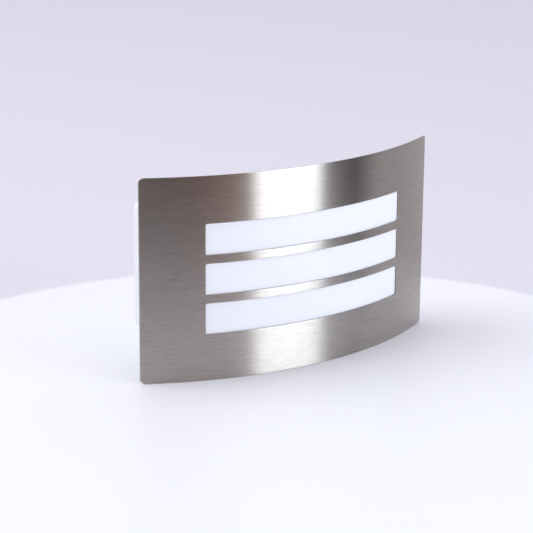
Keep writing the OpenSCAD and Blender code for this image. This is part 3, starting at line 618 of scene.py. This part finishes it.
def cut_edge():
    """Inset and depth across the sheet's cut edge: in from the front face, a quarter circle, the
    edge, a quarter circle and in again on the back face."""
    turn = np.radians(np.linspace(0, 90, 4))
    front = np.column_stack([EDGE_ROUND * (1 - np.sin(turn)), EDGE_ROUND * (1 - np.cos(turn))])
    back = front[::-1] * (1, -1) + (0, SHEET_T)
    return np.concatenate([[(BESIDE_EDGE, 0)], front, back, [(BESIDE_EDGE, SHEET_T)]])


def strip(outer_loop, edge_loop, steps):
    """A closed band of the sheet: over the front face from one loop to the cut edge, round it and
    back behind. edge_loop(inset) is the loop that lies so far inside the material from the edge."""
    share = np.linspace(0, 1, steps)[:, None, None]
    face = (1 - share) * outer_loop + share * edge_loop(BESIDE_EDGE)
    rows = [rolled(face[:-1], ARC_R)]
    rows += [rolled(edge_loop(inset), ARC_R - depth)[None] for inset, depth in cut_edge()]
    rows += [rolled(face[-2::-1], ARC_R - SHEET_T)]
    return np.concatenate(rows)


def slot_loop(middle_z):
    """The loop around one slot that lies an inset outside its edge."""
    def loop(inset):
        ring = rounded_box(SLOT_HALF + inset, SLOT_CORNER + inset, SIDE_COUNT, END_COUNT)
        return ring + (0, middle_z)
    return loop


def outline_loop(inset):
    """The loop that lies an inset inside the panel's outline. Its upright sides have as many
    places as those of the three cells together."""
    upright = 3 * (len(cell_zs[0]) - 1) + 1 - 2 * (CORNER_STEPS - 1)
    return rounded_box(PANEL_HALF - inset, PANEL_CORNER - inset, SIDE_COUNT, upright)


cell_xs = side_places(CELL_X, CELL_CORNER, SIDE_COUNT)
cell_zs = [low + (high - low) / 2 + side_places((high - low) / 2, CELL_CORNER, END_COUNT)
           for low, high in zip(CELL_EDGES[:-1], CELL_EDGES[1:])]
joined_zs = np.concatenate([cell_zs[0], cell_zs[1][1:], cell_zs[2][1:]])
slots = [strip(border(cell_xs, zs), slot_loop(place * SLOT_STEP), SLOT_ROWS)
         for place, zs in zip((-1, 0, 1), cell_zs)]
frame_band = strip(border(cell_xs, joined_zs), outline_loop, FRAME_ROWS)
piece("panel_sheet", [*slots, frame_band], ["front_panel"], sharp=50)

# %% [markdown]
# ## The body's outline
#
# The cover, the base and both seals share one rounded outline. A moulding with one wall thickness
# could be a solid with its inside taken away, but a profile that is carried round the outline keeps
# long even rows of faces and an exact wall. Every point of the profile has an inset from the
# outline and a distance from the wall. The cover's front follows the panel's arc, so each row also
# says how far it follows that arc.

# %% Outline of the body
_, body_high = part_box("base_housing")
BODY_HALF = np.array([body_high.x, body_high.z])
BODY_CORNER = 5 * MM
LEAST_CORNER = 0.6 * MM
ACROSS_COUNT, UPRIGHT_COUNT = 61, 21


def body_loop(inset):
    """The body's rounded outline, drawn in by an inset. Past half the height it is a line."""
    half = np.maximum(BODY_HALF - inset, 0)
    corner = min(max(BODY_CORNER - inset, LEAST_CORNER), half.min())
    return rounded_box(half, corner, ACROSS_COUNT, UPRIGHT_COUNT)


def carried(profile, follow=None, radii=None):
    """Carries (inset, distance from the wall) round the outline. Where follow is 1, the distance
    counts from an arc of the given radius instead, and between 0 and 1 it lies between the two:
    y is minus the distance, minus follow times the arc's own distance from the wall."""
    rows = []
    for k, (inset, distance) in enumerate(profile):
        loop = body_loop(inset)
        share = 0 if follow is None else follow[k]
        radius = ARC_R if radii is None else radii[k]
        arc_d = CROWN - ARC_R + np.sqrt(radius ** 2 - loop[:, 0] ** 2)
        rows.append(np.column_stack([loop[:, 0], -(distance + share * arc_d), loop[:, 1]]))
    return np.stack(rows)


print("body", np.round(BODY_HALF / MM * 2, 2), "mm")

# %% [markdown]
# ## The opal cover
#
# The diffuser is an injection moulding of 2 mm wall, softly rounded where the sides meet the front,
# with a foot and a tongue that presses on the seal. A Solidify modifier could give the wall, but
# not the foot. So the profile starts behind the front, on the middle line, and runs down the inner
# wall, round the foot, up the outer wall and over the front to the middle line again.

# %% The diffuser's profile
RIM_D = 34 * MM
DIFFUSER_R = ARC_R - SHEET_T - 0.4 * MM
DIFFUSER_T = 2 * MM
OUTER_EDGE_R, INNER_EDGE_R = 1.6 * MM, 0.8 * MM
FOOT_W, FOOT_T, TONGUE_AT, TONGUE_W, TONGUE_H = 6.4 * MM, 2 * MM, 2.6 * MM, 2.2 * MM, 1 * MM
OUTER_WALL_STARTS = 0.5 * MM
edge_turn = np.radians(np.linspace(0, 90, 7))
front_shares = np.linspace(0, 1, 18)[1:] ** 0.8


def skin(inset, edge_r, radius, wall_from):
    """Rows up a wall, round its edge and over the front to the middle line, as (inset, distance,
    follow, radius). The edge is a quarter circle."""
    up = np.linspace(0, 1, 6)
    wall = [(inset, (1 - s) * wall_from - s * edge_r, s, radius) for s in up[:-1]]
    edge = [(inset + edge_r * (1 - np.cos(a)), -edge_r * (1 - np.sin(a)), 1, radius)
            for a in edge_turn]
    start = inset + edge_r
    front = [(start + (BODY_HALF[1] - start) * s, 0, 1, radius) for s in front_shares]
    return wall + edge + front


foot = rounded([(DIFFUSER_T, RIM_D + FOOT_T), (FOOT_W, RIM_D + FOOT_T), (FOOT_W, RIM_D),
                (TONGUE_AT + TONGUE_W, RIM_D), (TONGUE_AT + TONGUE_W, RIM_D - TONGUE_H),
                (TONGUE_AT, RIM_D - TONGUE_H), (TONGUE_AT, RIM_D), (0, RIM_D)],
               np.array([0.01, 0.3, 0.3, 0.1, 0.3, 0.3, 0.1, 0.3]) * MM)
inner = skin(DIFFUSER_T, INNER_EDGE_R, DIFFUSER_R - DIFFUSER_T, RIM_D + FOOT_T)[::-1]
outer = skin(0, OUTER_EDGE_R, DIFFUSER_R, RIM_D + OUTER_WALL_STARTS)
profile = np.array(inner + [(i, d, 0, DIFFUSER_R) for i, d in foot] + outer)
cover = carried(profile[:, :2], profile[:, 2], profile[:, 3])
piece("opal_cover", [cover], ["diffuser"], sharp=50)

# %% [markdown]
# ## Seal and gasket
#
# The rubber ring between cover and base, and the foam ring against the wall, are strips with a
# plain section that follow the body's outline, so they are carried round it as the cover's profile
# was, with edges that are only just broken.

# %% Rings round the outline
RING_ROUND = 0.35 * MM


def ring_piece(name, stands_for, inset, width, near, far):
    """A strip with a rounded rectangular section between two distances from the wall."""
    corners = [(inset, near), (inset, far), (inset + width, far), (inset + width, near)]
    section = rounded(corners, RING_ROUND)
    piece(name, [carried(np.concatenate([section, section[:1]]))], [stands_for])


ring_piece("rim_seal", "base_seal", inset=2.4 * MM, width=2.6 * MM, near=31 * MM, far=33 * MM)
ring_piece("wall_foam", "wall_gasket", inset=3.5 * MM, width=8 * MM, near=0, far=2 * MM)

# %% [markdown]
# ## Turned parts, and the grommet
#
# A turned part is a profile spun about an axis. The first is the rubber grommet, which snaps into
# the housing's back with its groove and has generous rounds, because rubber is moulded without
# sharp edges. The profiles are in millimetres, as on a drawing: the way along the axis, then the
# radius.

# %% Turned parts
ROUND_AXIS = np.linspace(0, 2 * np.pi, 72, endpoint=False)[None, :]


def about_axis(along, radius):
    """The points (along, radius cos t, radius sin t), at 72 angles t round an axis."""
    t = ROUND_AXIS
    return np.stack([along + 0 * t, radius * np.cos(t), radius * np.sin(t)], axis=-1)


def spun(profile):
    """A profile of (along, radius), spun about the axis."""
    points = np.asarray(profile)
    return about_axis(points[:, 0:1], points[:, 1:2])


def placed(grid, start, along):
    """Lays a grid of (along, across, up) on an axis: point = start + a along + b across + c up."""
    along = np.asarray(along, float)
    across = np.cross((0, 0, 1), along)
    return start + grid @ np.stack([along, across, np.cross(along, across)])


def turned_piece(name, stands_for, outline, rounds, start, along):
    """A turned part from a closed outline in millimetres, with rounded corners."""
    profile = rounded(np.array(outline) * MM, np.array(rounds) * MM)
    grid = spun(np.concatenate([profile, profile[:1]]))
    piece(name, [placed(grid, start, along)], [stands_for])


print("turned parts have", ROUND_AXIS.size, "sides")

# %% The grommet
GROMMET_PLACE = np.array([-78, 0, 22]) * MM
OUT_OF_WALL = (0, -1, 0)
turned_piece("cable_seal", "cable_grommet",
             [(0, 4), (0, 10.5), (1.2, 10.5), (1.2, 7.9), (4, 7.9), (4, 10.5), (6.5, 10.5),
              (6.5, 6.9), (9, 5.2), (9, 4)],
             [0.3, 0.5, 0.5, 0.2, 0.2, 0.9, 0.9, 0.5, 0.5, 0.4], GROMMET_PLACE, OUT_OF_WALL)

# %% [markdown]
# ## The lampholder
#
# A lampholder is bought in: a black phenolic dome and sleeve, screwed together round a white
# porcelain disc. The same function makes them, about an axis that runs from the bracket on the
# right to the left.

# %% Dome, sleeve and insulator
HOLDER_X, AXIS_Y = 88, -40
TO_THE_LEFT = (-1, 0, 0)
LAMP_AXIS = (np.array([HOLDER_X, AXIS_Y, 0]) * MM, TO_THE_LEFT)
turned_piece("holder_dome", "lampholder_dome",
             [(0, 5.05), (0, 16.5), (3, 19.5), (22, 19.5), (22, 17.2), (10, 17.2), (10, 14),
              (6, 14), (6, 5.05)],
             [0.3, 2.5, 2.5, 0.4, 0.3, 0.3, 0.4, 0.6, 0.3], *LAMP_AXIS)
turned_piece("holder_sleeve", "lampholder_sleeve",
             [(16, 14.6), (16, 17), (22, 17), (22, 19.5), (43, 19.5), (44, 18.5), (44, 15.6),
              (43, 14.6)],
             [0.2, 0.3, 0.2, 0.4, 0.8, 0.8, 0.6, 0.6], *LAMP_AXIS)
turned_piece("holder_insulator", "lampholder_insulator",
             [(10, 0), (10, 16.8), (16, 16.8), (16, 0)], [0, 0.6, 0.6, 0], *LAMP_AXIS)

# %% [markdown]
# ## Threads
#
# The brass shell that takes the lamp is rolled from thin sheet, so its thread shows on both sides,
# and the hollow nipple that fixes the holder has a fine thread outside. A thread could be a Screw
# modifier on a small profile, but the formula is shorter: the radius is a wave that climbs by one
# pitch with each turn.

# %% Threaded tubes
def threaded(radius, first, last, pitch, height, rows):
    """A tube with a rounded thread: r = radius + height w^0.8, where w is a wave of
    (a / pitch - turns) from 0 to 1 that fades in and out at the two ends."""
    a = np.linspace(first, last, rows)[:, None]
    wave = 0.5 - 0.5 * np.cos(2 * np.pi * (a - first) / pitch - ROUND_AXIS)
    fade = np.clip((a - first) / pitch, 0, 1) * np.clip((last - a) / pitch, 0, 1)
    return about_axis(a, radius + height * wave ** 0.8 * fade)


def plain_rows(*corners):
    """Rows of a plain tube through (along, radius) corners in millimetres."""
    return spun(np.array(corners) * MM)


print("plain rows:", plain_rows((0, 1), (1, 1)).shape)

# %% Shell and nipple
E27_PITCH = 3.629 * MM
SHELL_INSIDE, SHELL_OUTSIDE, SHELL_RIM, NIPPLE_R = 13.6, 13.9, 14.2, 4.6
SHELL = [(16, SHELL_INSIDE), (41, SHELL_INSIDE), (41, SHELL_RIM), (16, SHELL_RIM)]
NIPPLE = [(-6.7, NIPPLE_R), (7.2, NIPPLE_R), (7.2, 3.7), (-6.7, 3.7)]


def shell_thread(radius):
    """One side of the shell's rolled thread, 0.3 mm high, from a radius in millimetres."""
    return threaded(radius * MM, 18 * MM, 39.5 * MM, E27_PITCH, 0.3 * MM, 110)


shell = np.concatenate([plain_rows(SHELL[0]), shell_thread(SHELL_INSIDE), plain_rows(*SHELL[1:3]),
                        shell_thread(SHELL_OUTSIDE)[::-1], plain_rows(SHELL[3], SHELL[0])])
piece("holder_shell", [placed(shell, *LAMP_AXIS)], ["lampholder_screw_shell"])

nipple_thread = threaded(NIPPLE_R * MM, NIPPLE[0][0] * MM, NIPPLE[1][0] * MM, 1 * MM, 0.4 * MM, 160)
nipple = np.concatenate([plain_rows(NIPPLE[0]), nipple_thread, plain_rows(*NIPPLE[1:], NIPPLE[0])])
piece("holder_nipple", [placed(nipple, *LAMP_AXIS)], ["lampholder_nipple"])

# %% [markdown]
# ## The lamp
#
# The lamp is a brass cap, plated with nickel, a plastic body and an opal globe, with a contact on
# black glass at its end. The cap's thread is rolled, with a deeper wave than the shell's. The globe
# is a thin shell, blown in one piece, so it is two parts of a sphere, one inside the other.

# %% The lamp
HOLDER_TO_LAMP = 18.6
LAMP_START = (np.array([HOLDER_X - HOLDER_TO_LAMP, AXIS_Y, 0]) * MM, TO_THE_LEFT)
GLOBE_R, GLOBE_T, GLOBE_MIDDLE, GLOBE_CUT = 30 * MM, 1.2 * MM, 78 * MM, 60 * MM

cap_shoulder = rounded(np.array([(4, 9.6), (4, 11.2), (5, 12.2), (6, 12.2)]) * MM,
                       np.array([0.2, 0.5, 0.4, 0]) * MM)[4:-4]
cap_skirt = rounded(np.array([(22, 12.2), (23.1, 12.2), (23.9, 13), (27, 13)]) * MM,
                    np.array([0, 0.4, 0.4, 0.3]) * MM)[8:-4]
cap_thread = threaded(12.2 * MM, 5.2 * MM, 23 * MM, E27_PITCH, 0.8 * MM, 120)
cap_inside = plain_rows((27, 13), (27, 11.6), (4.6, 11.6), (4.6, 9.6), (4, 9.6))
cap = np.concatenate([plain_rows((4, 9.6)), spun(cap_shoulder), cap_thread, spun(cap_skirt),
                      cap_inside])
piece("cap_shell", [placed(cap, *LAMP_START)], ["lamp_cap"])
turned_piece("cap_tip", "lamp_centre_contact",
             [(0, 0), (0, 4.8), (1.2, 4.8), (1.2, 0)], [0, 0.9, 0.1, 0], *LAMP_START)
# the glass starts 0.02 mm behind the contact, which doesn't turn with the rest of the lamp
turned_piece("cap_glass", "lamp_insulator",
             [(1.22, 0), (1.22, 5.8), (4, 10.6), (4, 0)], [0, 0.4, 0.3, 0], *LAMP_START)
turned_piece("lamp_housing", "lamp_body",
             [(27, 0), (27, 14), (29, 15), (38, 16.5), (56, 24.8), (60, 24.8), (60, 0)],
             [0, 0.6, 3, 8, 3, 0.5, 0], *LAMP_START)


def dome(radius):
    """Rows of a sphere from the plane at the cut to its tip: (middle - radius cos v,
    radius sin v)."""
    v = np.linspace(np.arccos((GLOBE_MIDDLE - GLOBE_CUT) / radius), np.pi, 40)
    return np.column_stack([GLOBE_MIDDLE - radius * np.cos(v), radius * np.sin(v)])


globe_rows = np.concatenate([dome(GLOBE_R), dome(GLOBE_R - GLOBE_T)[::-1]])
globe = spun(np.concatenate([globe_rows, globe_rows[:1]]))
piece("lamp_bulb", [placed(globe, *LAMP_START)], ["lamp_globe"])

# %% [markdown]
# ## The inner wires
#
# Three insulated wires run from the terminal block to the lampholder and the earth screw. A curve
# object with a bevel would do, but the shader couldn't tell the sides of the wire apart. So the
# path starts as the few points that an electrician would bend it at, each corner becomes a curve,
# and a circle of points is laid across it at every step. Each point keeps the cosine of its angle
# round the wire in an attribute, which the earth wire's two colours read.

# %% Sweeping a wire
WIRE_R = 1.1 * MM
WIRE_BEND = 6 * MM
WIRE_SIDES = 16
BEND_STEPS = 9
FIRST_SIDE = np.array([0, -1, 0.1])


def unit(vectors):
    """Vectors divided by their own length."""
    return vectors / np.linalg.norm(vectors, axis=-1, keepdims=True)


def bent_path(points):
    """A path with a curve in the place of each inner corner."""
    bends = corner_curves(points[:-2], points[1:-1], points[2:], WIRE_BEND, BEND_STEPS)
    return np.concatenate([points[:1], bends, points[-1:]])


def wire_piece(name, stands_for, points):
    """A circle across the path at every point: path + radius (cos t side + sin t up). The side is
    turned as little as possible from one point to the next: it loses its part along the path."""
    listed = np.array(points, float) * MM
    path = bent_path(np.column_stack([listed[:, 0], -listed[:, 1], listed[:, 2]]))
    forward = unit(np.gradient(path, axis=0))
    side = np.zeros_like(path)
    last = FIRST_SIDE
    for k, ahead in enumerate(forward):
        last = unit(last - (last @ ahead) * ahead)
        side[k] = last
    up = np.cross(forward, side)
    t = np.linspace(0, 2 * np.pi, WIRE_SIDES, endpoint=False)[None, :, None]
    rings = path[:, None] + WIRE_R * (np.cos(t) * side[:, None] + np.sin(t) * up[:, None])
    ends = [np.repeat(path[k][None, None], WIRE_SIDES, axis=1) for k in (0, -1)]
    around = np.tile(np.cos(t[0, :, 0]), len(path) + 2)
    piece(name, [np.concatenate([ends[0], rings, ends[1]])], [stands_for],
          attribute=("around", around))


print("wires of", 2 * WIRE_R / MM, "mm, bent to", WIRE_BEND / MM, "mm")

# %% [markdown]
# ### The three routes
#
# Each route is a list of points in millimetres: across, out from the wall, and up. The wires leave
# the terminal block downwards, run along the bottom of the housing, rise behind the lampholder and
# go in through its hollow nipple. The earth wire stops at the screw on the bracket.

# %% Lay the wires
RUN_Z, EARTH_RUN_Z = -43.5, -40.9
wire_piece("wire_live", "live_wire",
           [(-93, 13, -13.85), (-93, 13, -26), (-90, 8, -38.5), (-81, 7, RUN_Z), (92, 7, RUN_Z),
            (104, 14, -40.5), (108, 28, -30), (108, 37, -16), (105, 40, -2), (101, 40, 1),
            (97, 40, 1.3), (80, 40, 1.3), (79.2, 40, 5.9)])
wire_piece("wire_neutral", "neutral_wire",
           [(-82, 13, -13.85), (-82, 13, -26), (-80, 10.6, -38.5), (-72, 9.6, RUN_Z),
            (89, 9.6, RUN_Z), (98, 16.5, -38.5), (101.5, 29, -28), (101.5, 37, -12),
            (99.5, 40, -3), (96.5, 40, -1.3), (80, 40, -1.3), (79.2, 40, -5.9)])
wire_piece("wire_earth", "earth_wire",
           [(-71, 13, -13.85), (-71, 13, -26), (-68, 8, -36.9), (-61, 7, EARTH_RUN_Z),
            (76, 7, EARTH_RUN_Z), (84, 12, -36.9), (92.5, 16.5, -27), (92.5, 16.5, -18),
            (95, 15.5, -14), (99, 14.3, -11.5), (99, 14.3, -6)])

# %% [markdown]
# ## Soft edges on the solids that keep their shape
#
# The housing, the clips, the screws and the other small parts already have the right shape as
# solids, but their edges are perfectly sharp, and nothing real is. A copy of each solid has its
# triangles merged into whole flat faces, and a Bevel modifier then rounds the edges.

# %% Bevelled copies
BEVEL_OVER = math.radians(40)
EDGE_ROUNDS = {
    "base_housing": 0.4, "terminal_block": 0.3, "lampholder_bracket": 0.25, "lampholder_nut": 0.3,
    "panel_clip_left": 0.2, "panel_clip_right": 0.2, "side_washer_left": 0.15,
    "side_washer_right": 0.15, "side_screw_left": 0.15, "side_screw_right": 0.15,
    "bracket_screws": 0.12, "earth_screw": 0.12, "earth_nut": 0.2, "terminal_block_screw": 0.12,
    "terminal_screws": 0.1, "terminal_clamps": 0.15, "side_inserts": 0.15,
    "lampholder_terminals": 0.2, "lampholder_centre_contact": 0.12, "earth_ring_terminal": 0.12,
    "lamp_led_board": 0.1}


def softened(node, width):
    """A merged copy of a CAD solid with rounds of a width in millimetres along its sharp edges."""
    mesh = nodes[node].data.copy()
    mesh.name = node + "_soft"
    mesh.materials.clear()
    tidy_mesh(mesh, 35, flat=True)
    made = new_object(node + "_soft", mesh)
    bevel = made.modifiers.new("edge rounds", "BEVEL")
    bevel.width = width * MM
    bevel.segments = 2
    bevel.limit_method = "ANGLE"
    bevel.angle_limit = BEVEL_OVER
    bevel.harden_normals = True
    take_place(made, [node])


for node, width in EDGE_ROUNDS.items():
    softened(node, width)
print(len(EDGE_ROUNDS), "solids softened")

# %% [markdown]
# ## The brushed steel
#
# Every finish is worked out in the piece's own metres, so its grain has the real size. The steel is
# brushed along its width. Modelled as grooves, the scratches would be finer than the picture can
# show. Instead, the shader's anisotropy spreads a mirror image upright and hardly at all sideways,
# and strokes of noise, stretched along the sheet, change the tone and, very little, the gloss and
# the height. More height would make the sheet look hammered.

# %% Brushed steel
FINISHES = {}
STROKES = (95, 95, 1000)
BANDS = (14, 14, 330)
HAIRLINES = (70, 70, 6000)
DARK_STEEL, LIGHT_STEEL = (0.405, 0.380, 0.357), (0.485, 0.455, 0.430)


def own_finish(make):
    """Makes and keeps the finish of the slot that has the function's name."""
    FINISHES[make.__name__] = make(Finish(make.__name__))
    return make


@own_finish
def brushed_stainless(finish):
    """Strokes about 10 mm long and 1 mm high and bands 70 mm long and 3 mm high change the tone and
    the gloss. The strokes change the height too, and hairlines 0.2 mm high the tone alone."""
    strokes = finish.noise(detail=1, stretch=STROKES)
    bands = finish.noise(detail=2, stretch=BANDS)
    hairlines = finish.noise(detail=1, stretch=HAIRLINES)
    scratches = strokes * 0.75 + bands * 0.25
    tone = finish.node("ShaderNodeMapRange", {}, {"Value": scratches + (hairlines - 0.5) * 0.6,
                                                  "From Min": 0.32, "From Max": 0.68})
    # under 0.275 the denoiser takes the steel for a mirror and leaves it crackled
    rough = (scratches - 0.5) * 0.03 + 0.281
    return finish.surface(finish.mix(tone, DARK_STEEL, LIGHT_STEEL), rough, 1.0,
                          Anisotropic=0.95, Anisotropic_Rotation=0.25,
                          Normal=finish.bump(strokes, 0.00014 * MM))


print("steel is brushed:", list(FINISHES))

# %% [markdown]
# ## The other metals
#
# The small metal parts are brass, plated or tinned, and none is polished. A plain colour would look
# like paint, so each has a fine grain and clouds of a darker tone, as on metal that has been
# handled. The bracket is galvanised and shows crystals of zinc.

# %% Metals
def cloudy_metal(finish, light, dark, rough):
    """Metal with clouds of a darker tone, which are also a little less glossy, and a fine grain."""
    clouds = finish.noise(120, 4, 0.6)
    grains = finish.noise(2500, 2)
    uneven = rough + (clouds - 0.5) * 0.12 + (grains - 0.5) * 0.1
    return finish.surface(finish.mix(clouds, light, dark), uneven, 1.0,
                          Normal=finish.bump(grains, 0.004 * MM))


METALS = {
    "brass": ((0.80, 0.60, 0.30), (0.62, 0.44, 0.20), 0.30),
    "plated_steel": ((0.66, 0.68, 0.71), (0.55, 0.57, 0.60), 0.34),
    "tinned_copper": ((0.78, 0.76, 0.73), (0.66, 0.63, 0.60), 0.30),
    "clip_steel": ((0.56, 0.555, 0.55), (0.48, 0.475, 0.47), 0.38),
    "screw_steel": ((0.62, 0.615, 0.61), (0.54, 0.53, 0.52), 0.28),
    "nickel_plate": ((0.70, 0.68, 0.64), (0.60, 0.58, 0.54), 0.22)}
for slot, looks in METALS.items():
    FINISHES[slot] = cloudy_metal(Finish(slot), *looks)


@own_finish
def bracket_steel(finish):
    """Galvanised steel: zinc crystals a few millimetres wide, each with a tone of its own, which is
    the red part of its random colour."""
    crystals = finish.cells(260, output="Color")
    each = finish.node("ShaderNodeSeparateColor", {}, {0: crystals})
    return finish.surface(finish.mix(each, (0.54, 0.55, 0.57), (0.68, 0.69, 0.71)),
                          0.3 + each * 0.15, 1.0)


print("metals:", len(FINISHES))

# %% [markdown]
# ## Plastics, rubber and porcelain
#
# Moulded parts have one colour all through. They look real when that colour drifts a little and the
# tool's fine grain breaks up the gloss. One function serves the plastics, the rubbers, the wires
# and the porcelain, which also has a glaze, the shader's coat.

# %% Plastics
def moulded(finish, light, dark, rough, grain=7000, depth=0.006, glaze=0.0):
    """Moulded plastic: an even colour that drifts a little, over the fine spark-eroded grain of
    its tool."""
    drift = finish.noise(30, 3)
    grains = finish.noise(grain, 2)
    return finish.surface(finish.mix(drift, light, dark), rough + (grains - 0.5) * 0.15,
                          Normal=finish.bump(grains, depth * MM), Coat_Weight=glaze)


MOULDED = {
    "opal_plastic": ((0.87, 0.885, 0.95), (0.845, 0.86, 0.935), 0.42),
    "white_plastic": ((0.87, 0.885, 0.935), (0.845, 0.86, 0.915), 0.48),
    "block_plastic": ((0.74, 0.74, 0.71), (0.70, 0.70, 0.66), 0.42),
    "lamp_plastic": ((0.80, 0.80, 0.79), (0.77, 0.77, 0.76), 0.40),
    "opal_globe": ((0.86, 0.86, 0.85), (0.83, 0.83, 0.82), 0.32),
    "seal_rubber": ((0.030, 0.030, 0.032), (0.018, 0.018, 0.020), 0.55),
    "grommet_rubber": ((0.026, 0.026, 0.028), (0.016, 0.016, 0.018), 0.60),
    "brown_insulation": ((0.16, 0.065, 0.028), (0.12, 0.045, 0.020), 0.38),
    "blue_insulation": ((0.03, 0.13, 0.42), (0.02, 0.09, 0.32), 0.38),
    "porcelain": ((0.78, 0.76, 0.70), (0.73, 0.70, 0.63), 0.35, 900, 0.01, 0.8),
    "black_glass": ((0.012, 0.012, 0.013), (0.02, 0.018, 0.018), 0.12, 900, 0.004)}
for slot, looks in MOULDED.items():
    FINISHES[slot] = moulded(Finish(slot), *looks)
print("moulded:", len(MOULDED))

# %% [markdown]
# ## Finishes with a pattern of their own
#
# Four finishes need more than drift and grain: phenolic resin has brown flecks, foam is full of
# cells, the earth wire is striped along its length, and the lamp's board is white with yellow
# diodes. Images would do, but formulas on noise and coordinates need no unwrapping.

# %% Phenolic resin, foam, earth wire and board
DIODES_END = 8.1 * MM


@own_finish
def black_phenolic(finish):
    """Pressed phenolic resin: glossy black with brown flecks of its wood flour filler. A high power
    of the noise leaves only its peaks."""
    flecks = finish.noise(1800, 3, 0.7) ** 6 * 8
    return finish.surface(finish.mix(flecks, (0.010, 0.010, 0.011), (0.06, 0.045, 0.035)),
                          0.24 + flecks * 0.1)


@own_finish
def foam(finish):
    """Closed-cell foam: round cells of about a third of a millimetre, each a shallow dent whose
    colour is painted darker towards its middle, as painted shade in the dent.
    """
    cell = finish.cells(3000)
    # painted shade: the colour is darkest in the middle of each cell, where the bump makes a dent
    return finish.surface(finish.mix(cell, (0.020, 0.020, 0.022), (0.075, 0.075, 0.080)), 0.9,
                          Normal=finish.bump(cell, 0.05 * MM))


@own_finish
def green_yellow_insulation(finish):
    """Two green and two yellow stripes along the wire: green where the squared cosine of the angle
    round it, which is large on two opposite sides, is over a half."""
    around = finish.node("ShaderNodeAttribute", {"attribute_name": "around"}, output="Fac")
    is_green = around.math("GREATER_THAN", around * around, 0.5)
    return finish.surface(finish.mix(is_green, (0.72, 0.52, 0.02), (0.03, 0.22, 0.05)), 0.38)


@own_finish
def board_white(finish):
    """White solder mask; what stands proud of the board is the yellow phosphor of a diode."""
    x = finish.along("X", finish.place())
    is_diode = x.math("LESS_THAN", x, DIODES_END)
    speckle = finish.noise(3000, 2)
    mask = finish.mix(speckle, (0.76, 0.76, 0.75), (0.82, 0.82, 0.81))
    return finish.surface(finish.mix(is_diode, mask, (0.85, 0.62, 0.12)), 0.35 + speckle * 0.1)


print("finishes:", len(FINISHES))

# %% [markdown]
# ## Dress the light
#
# The record names a material slot for every node, and each new piece has the slot of the node it
# stands for, so one loop gives all of them their finish. The two sets that it prints are empty when
# none has been forgotten.

# %% Give every piece its finish
for thing in list(bpy.context.scene.objects):
    if thing.type == "MESH" and thing not in (table, far_floor):
        slot = thing.get("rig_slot") or slot_of[thing.name]
        thing.data.materials.clear()
        thing.data.materials.append(FINISHES[slot])
used = set(slot_of.values())
print("unused finishes:", set(FINISHES) - used, "- slots without one:", used - set(FINISHES))
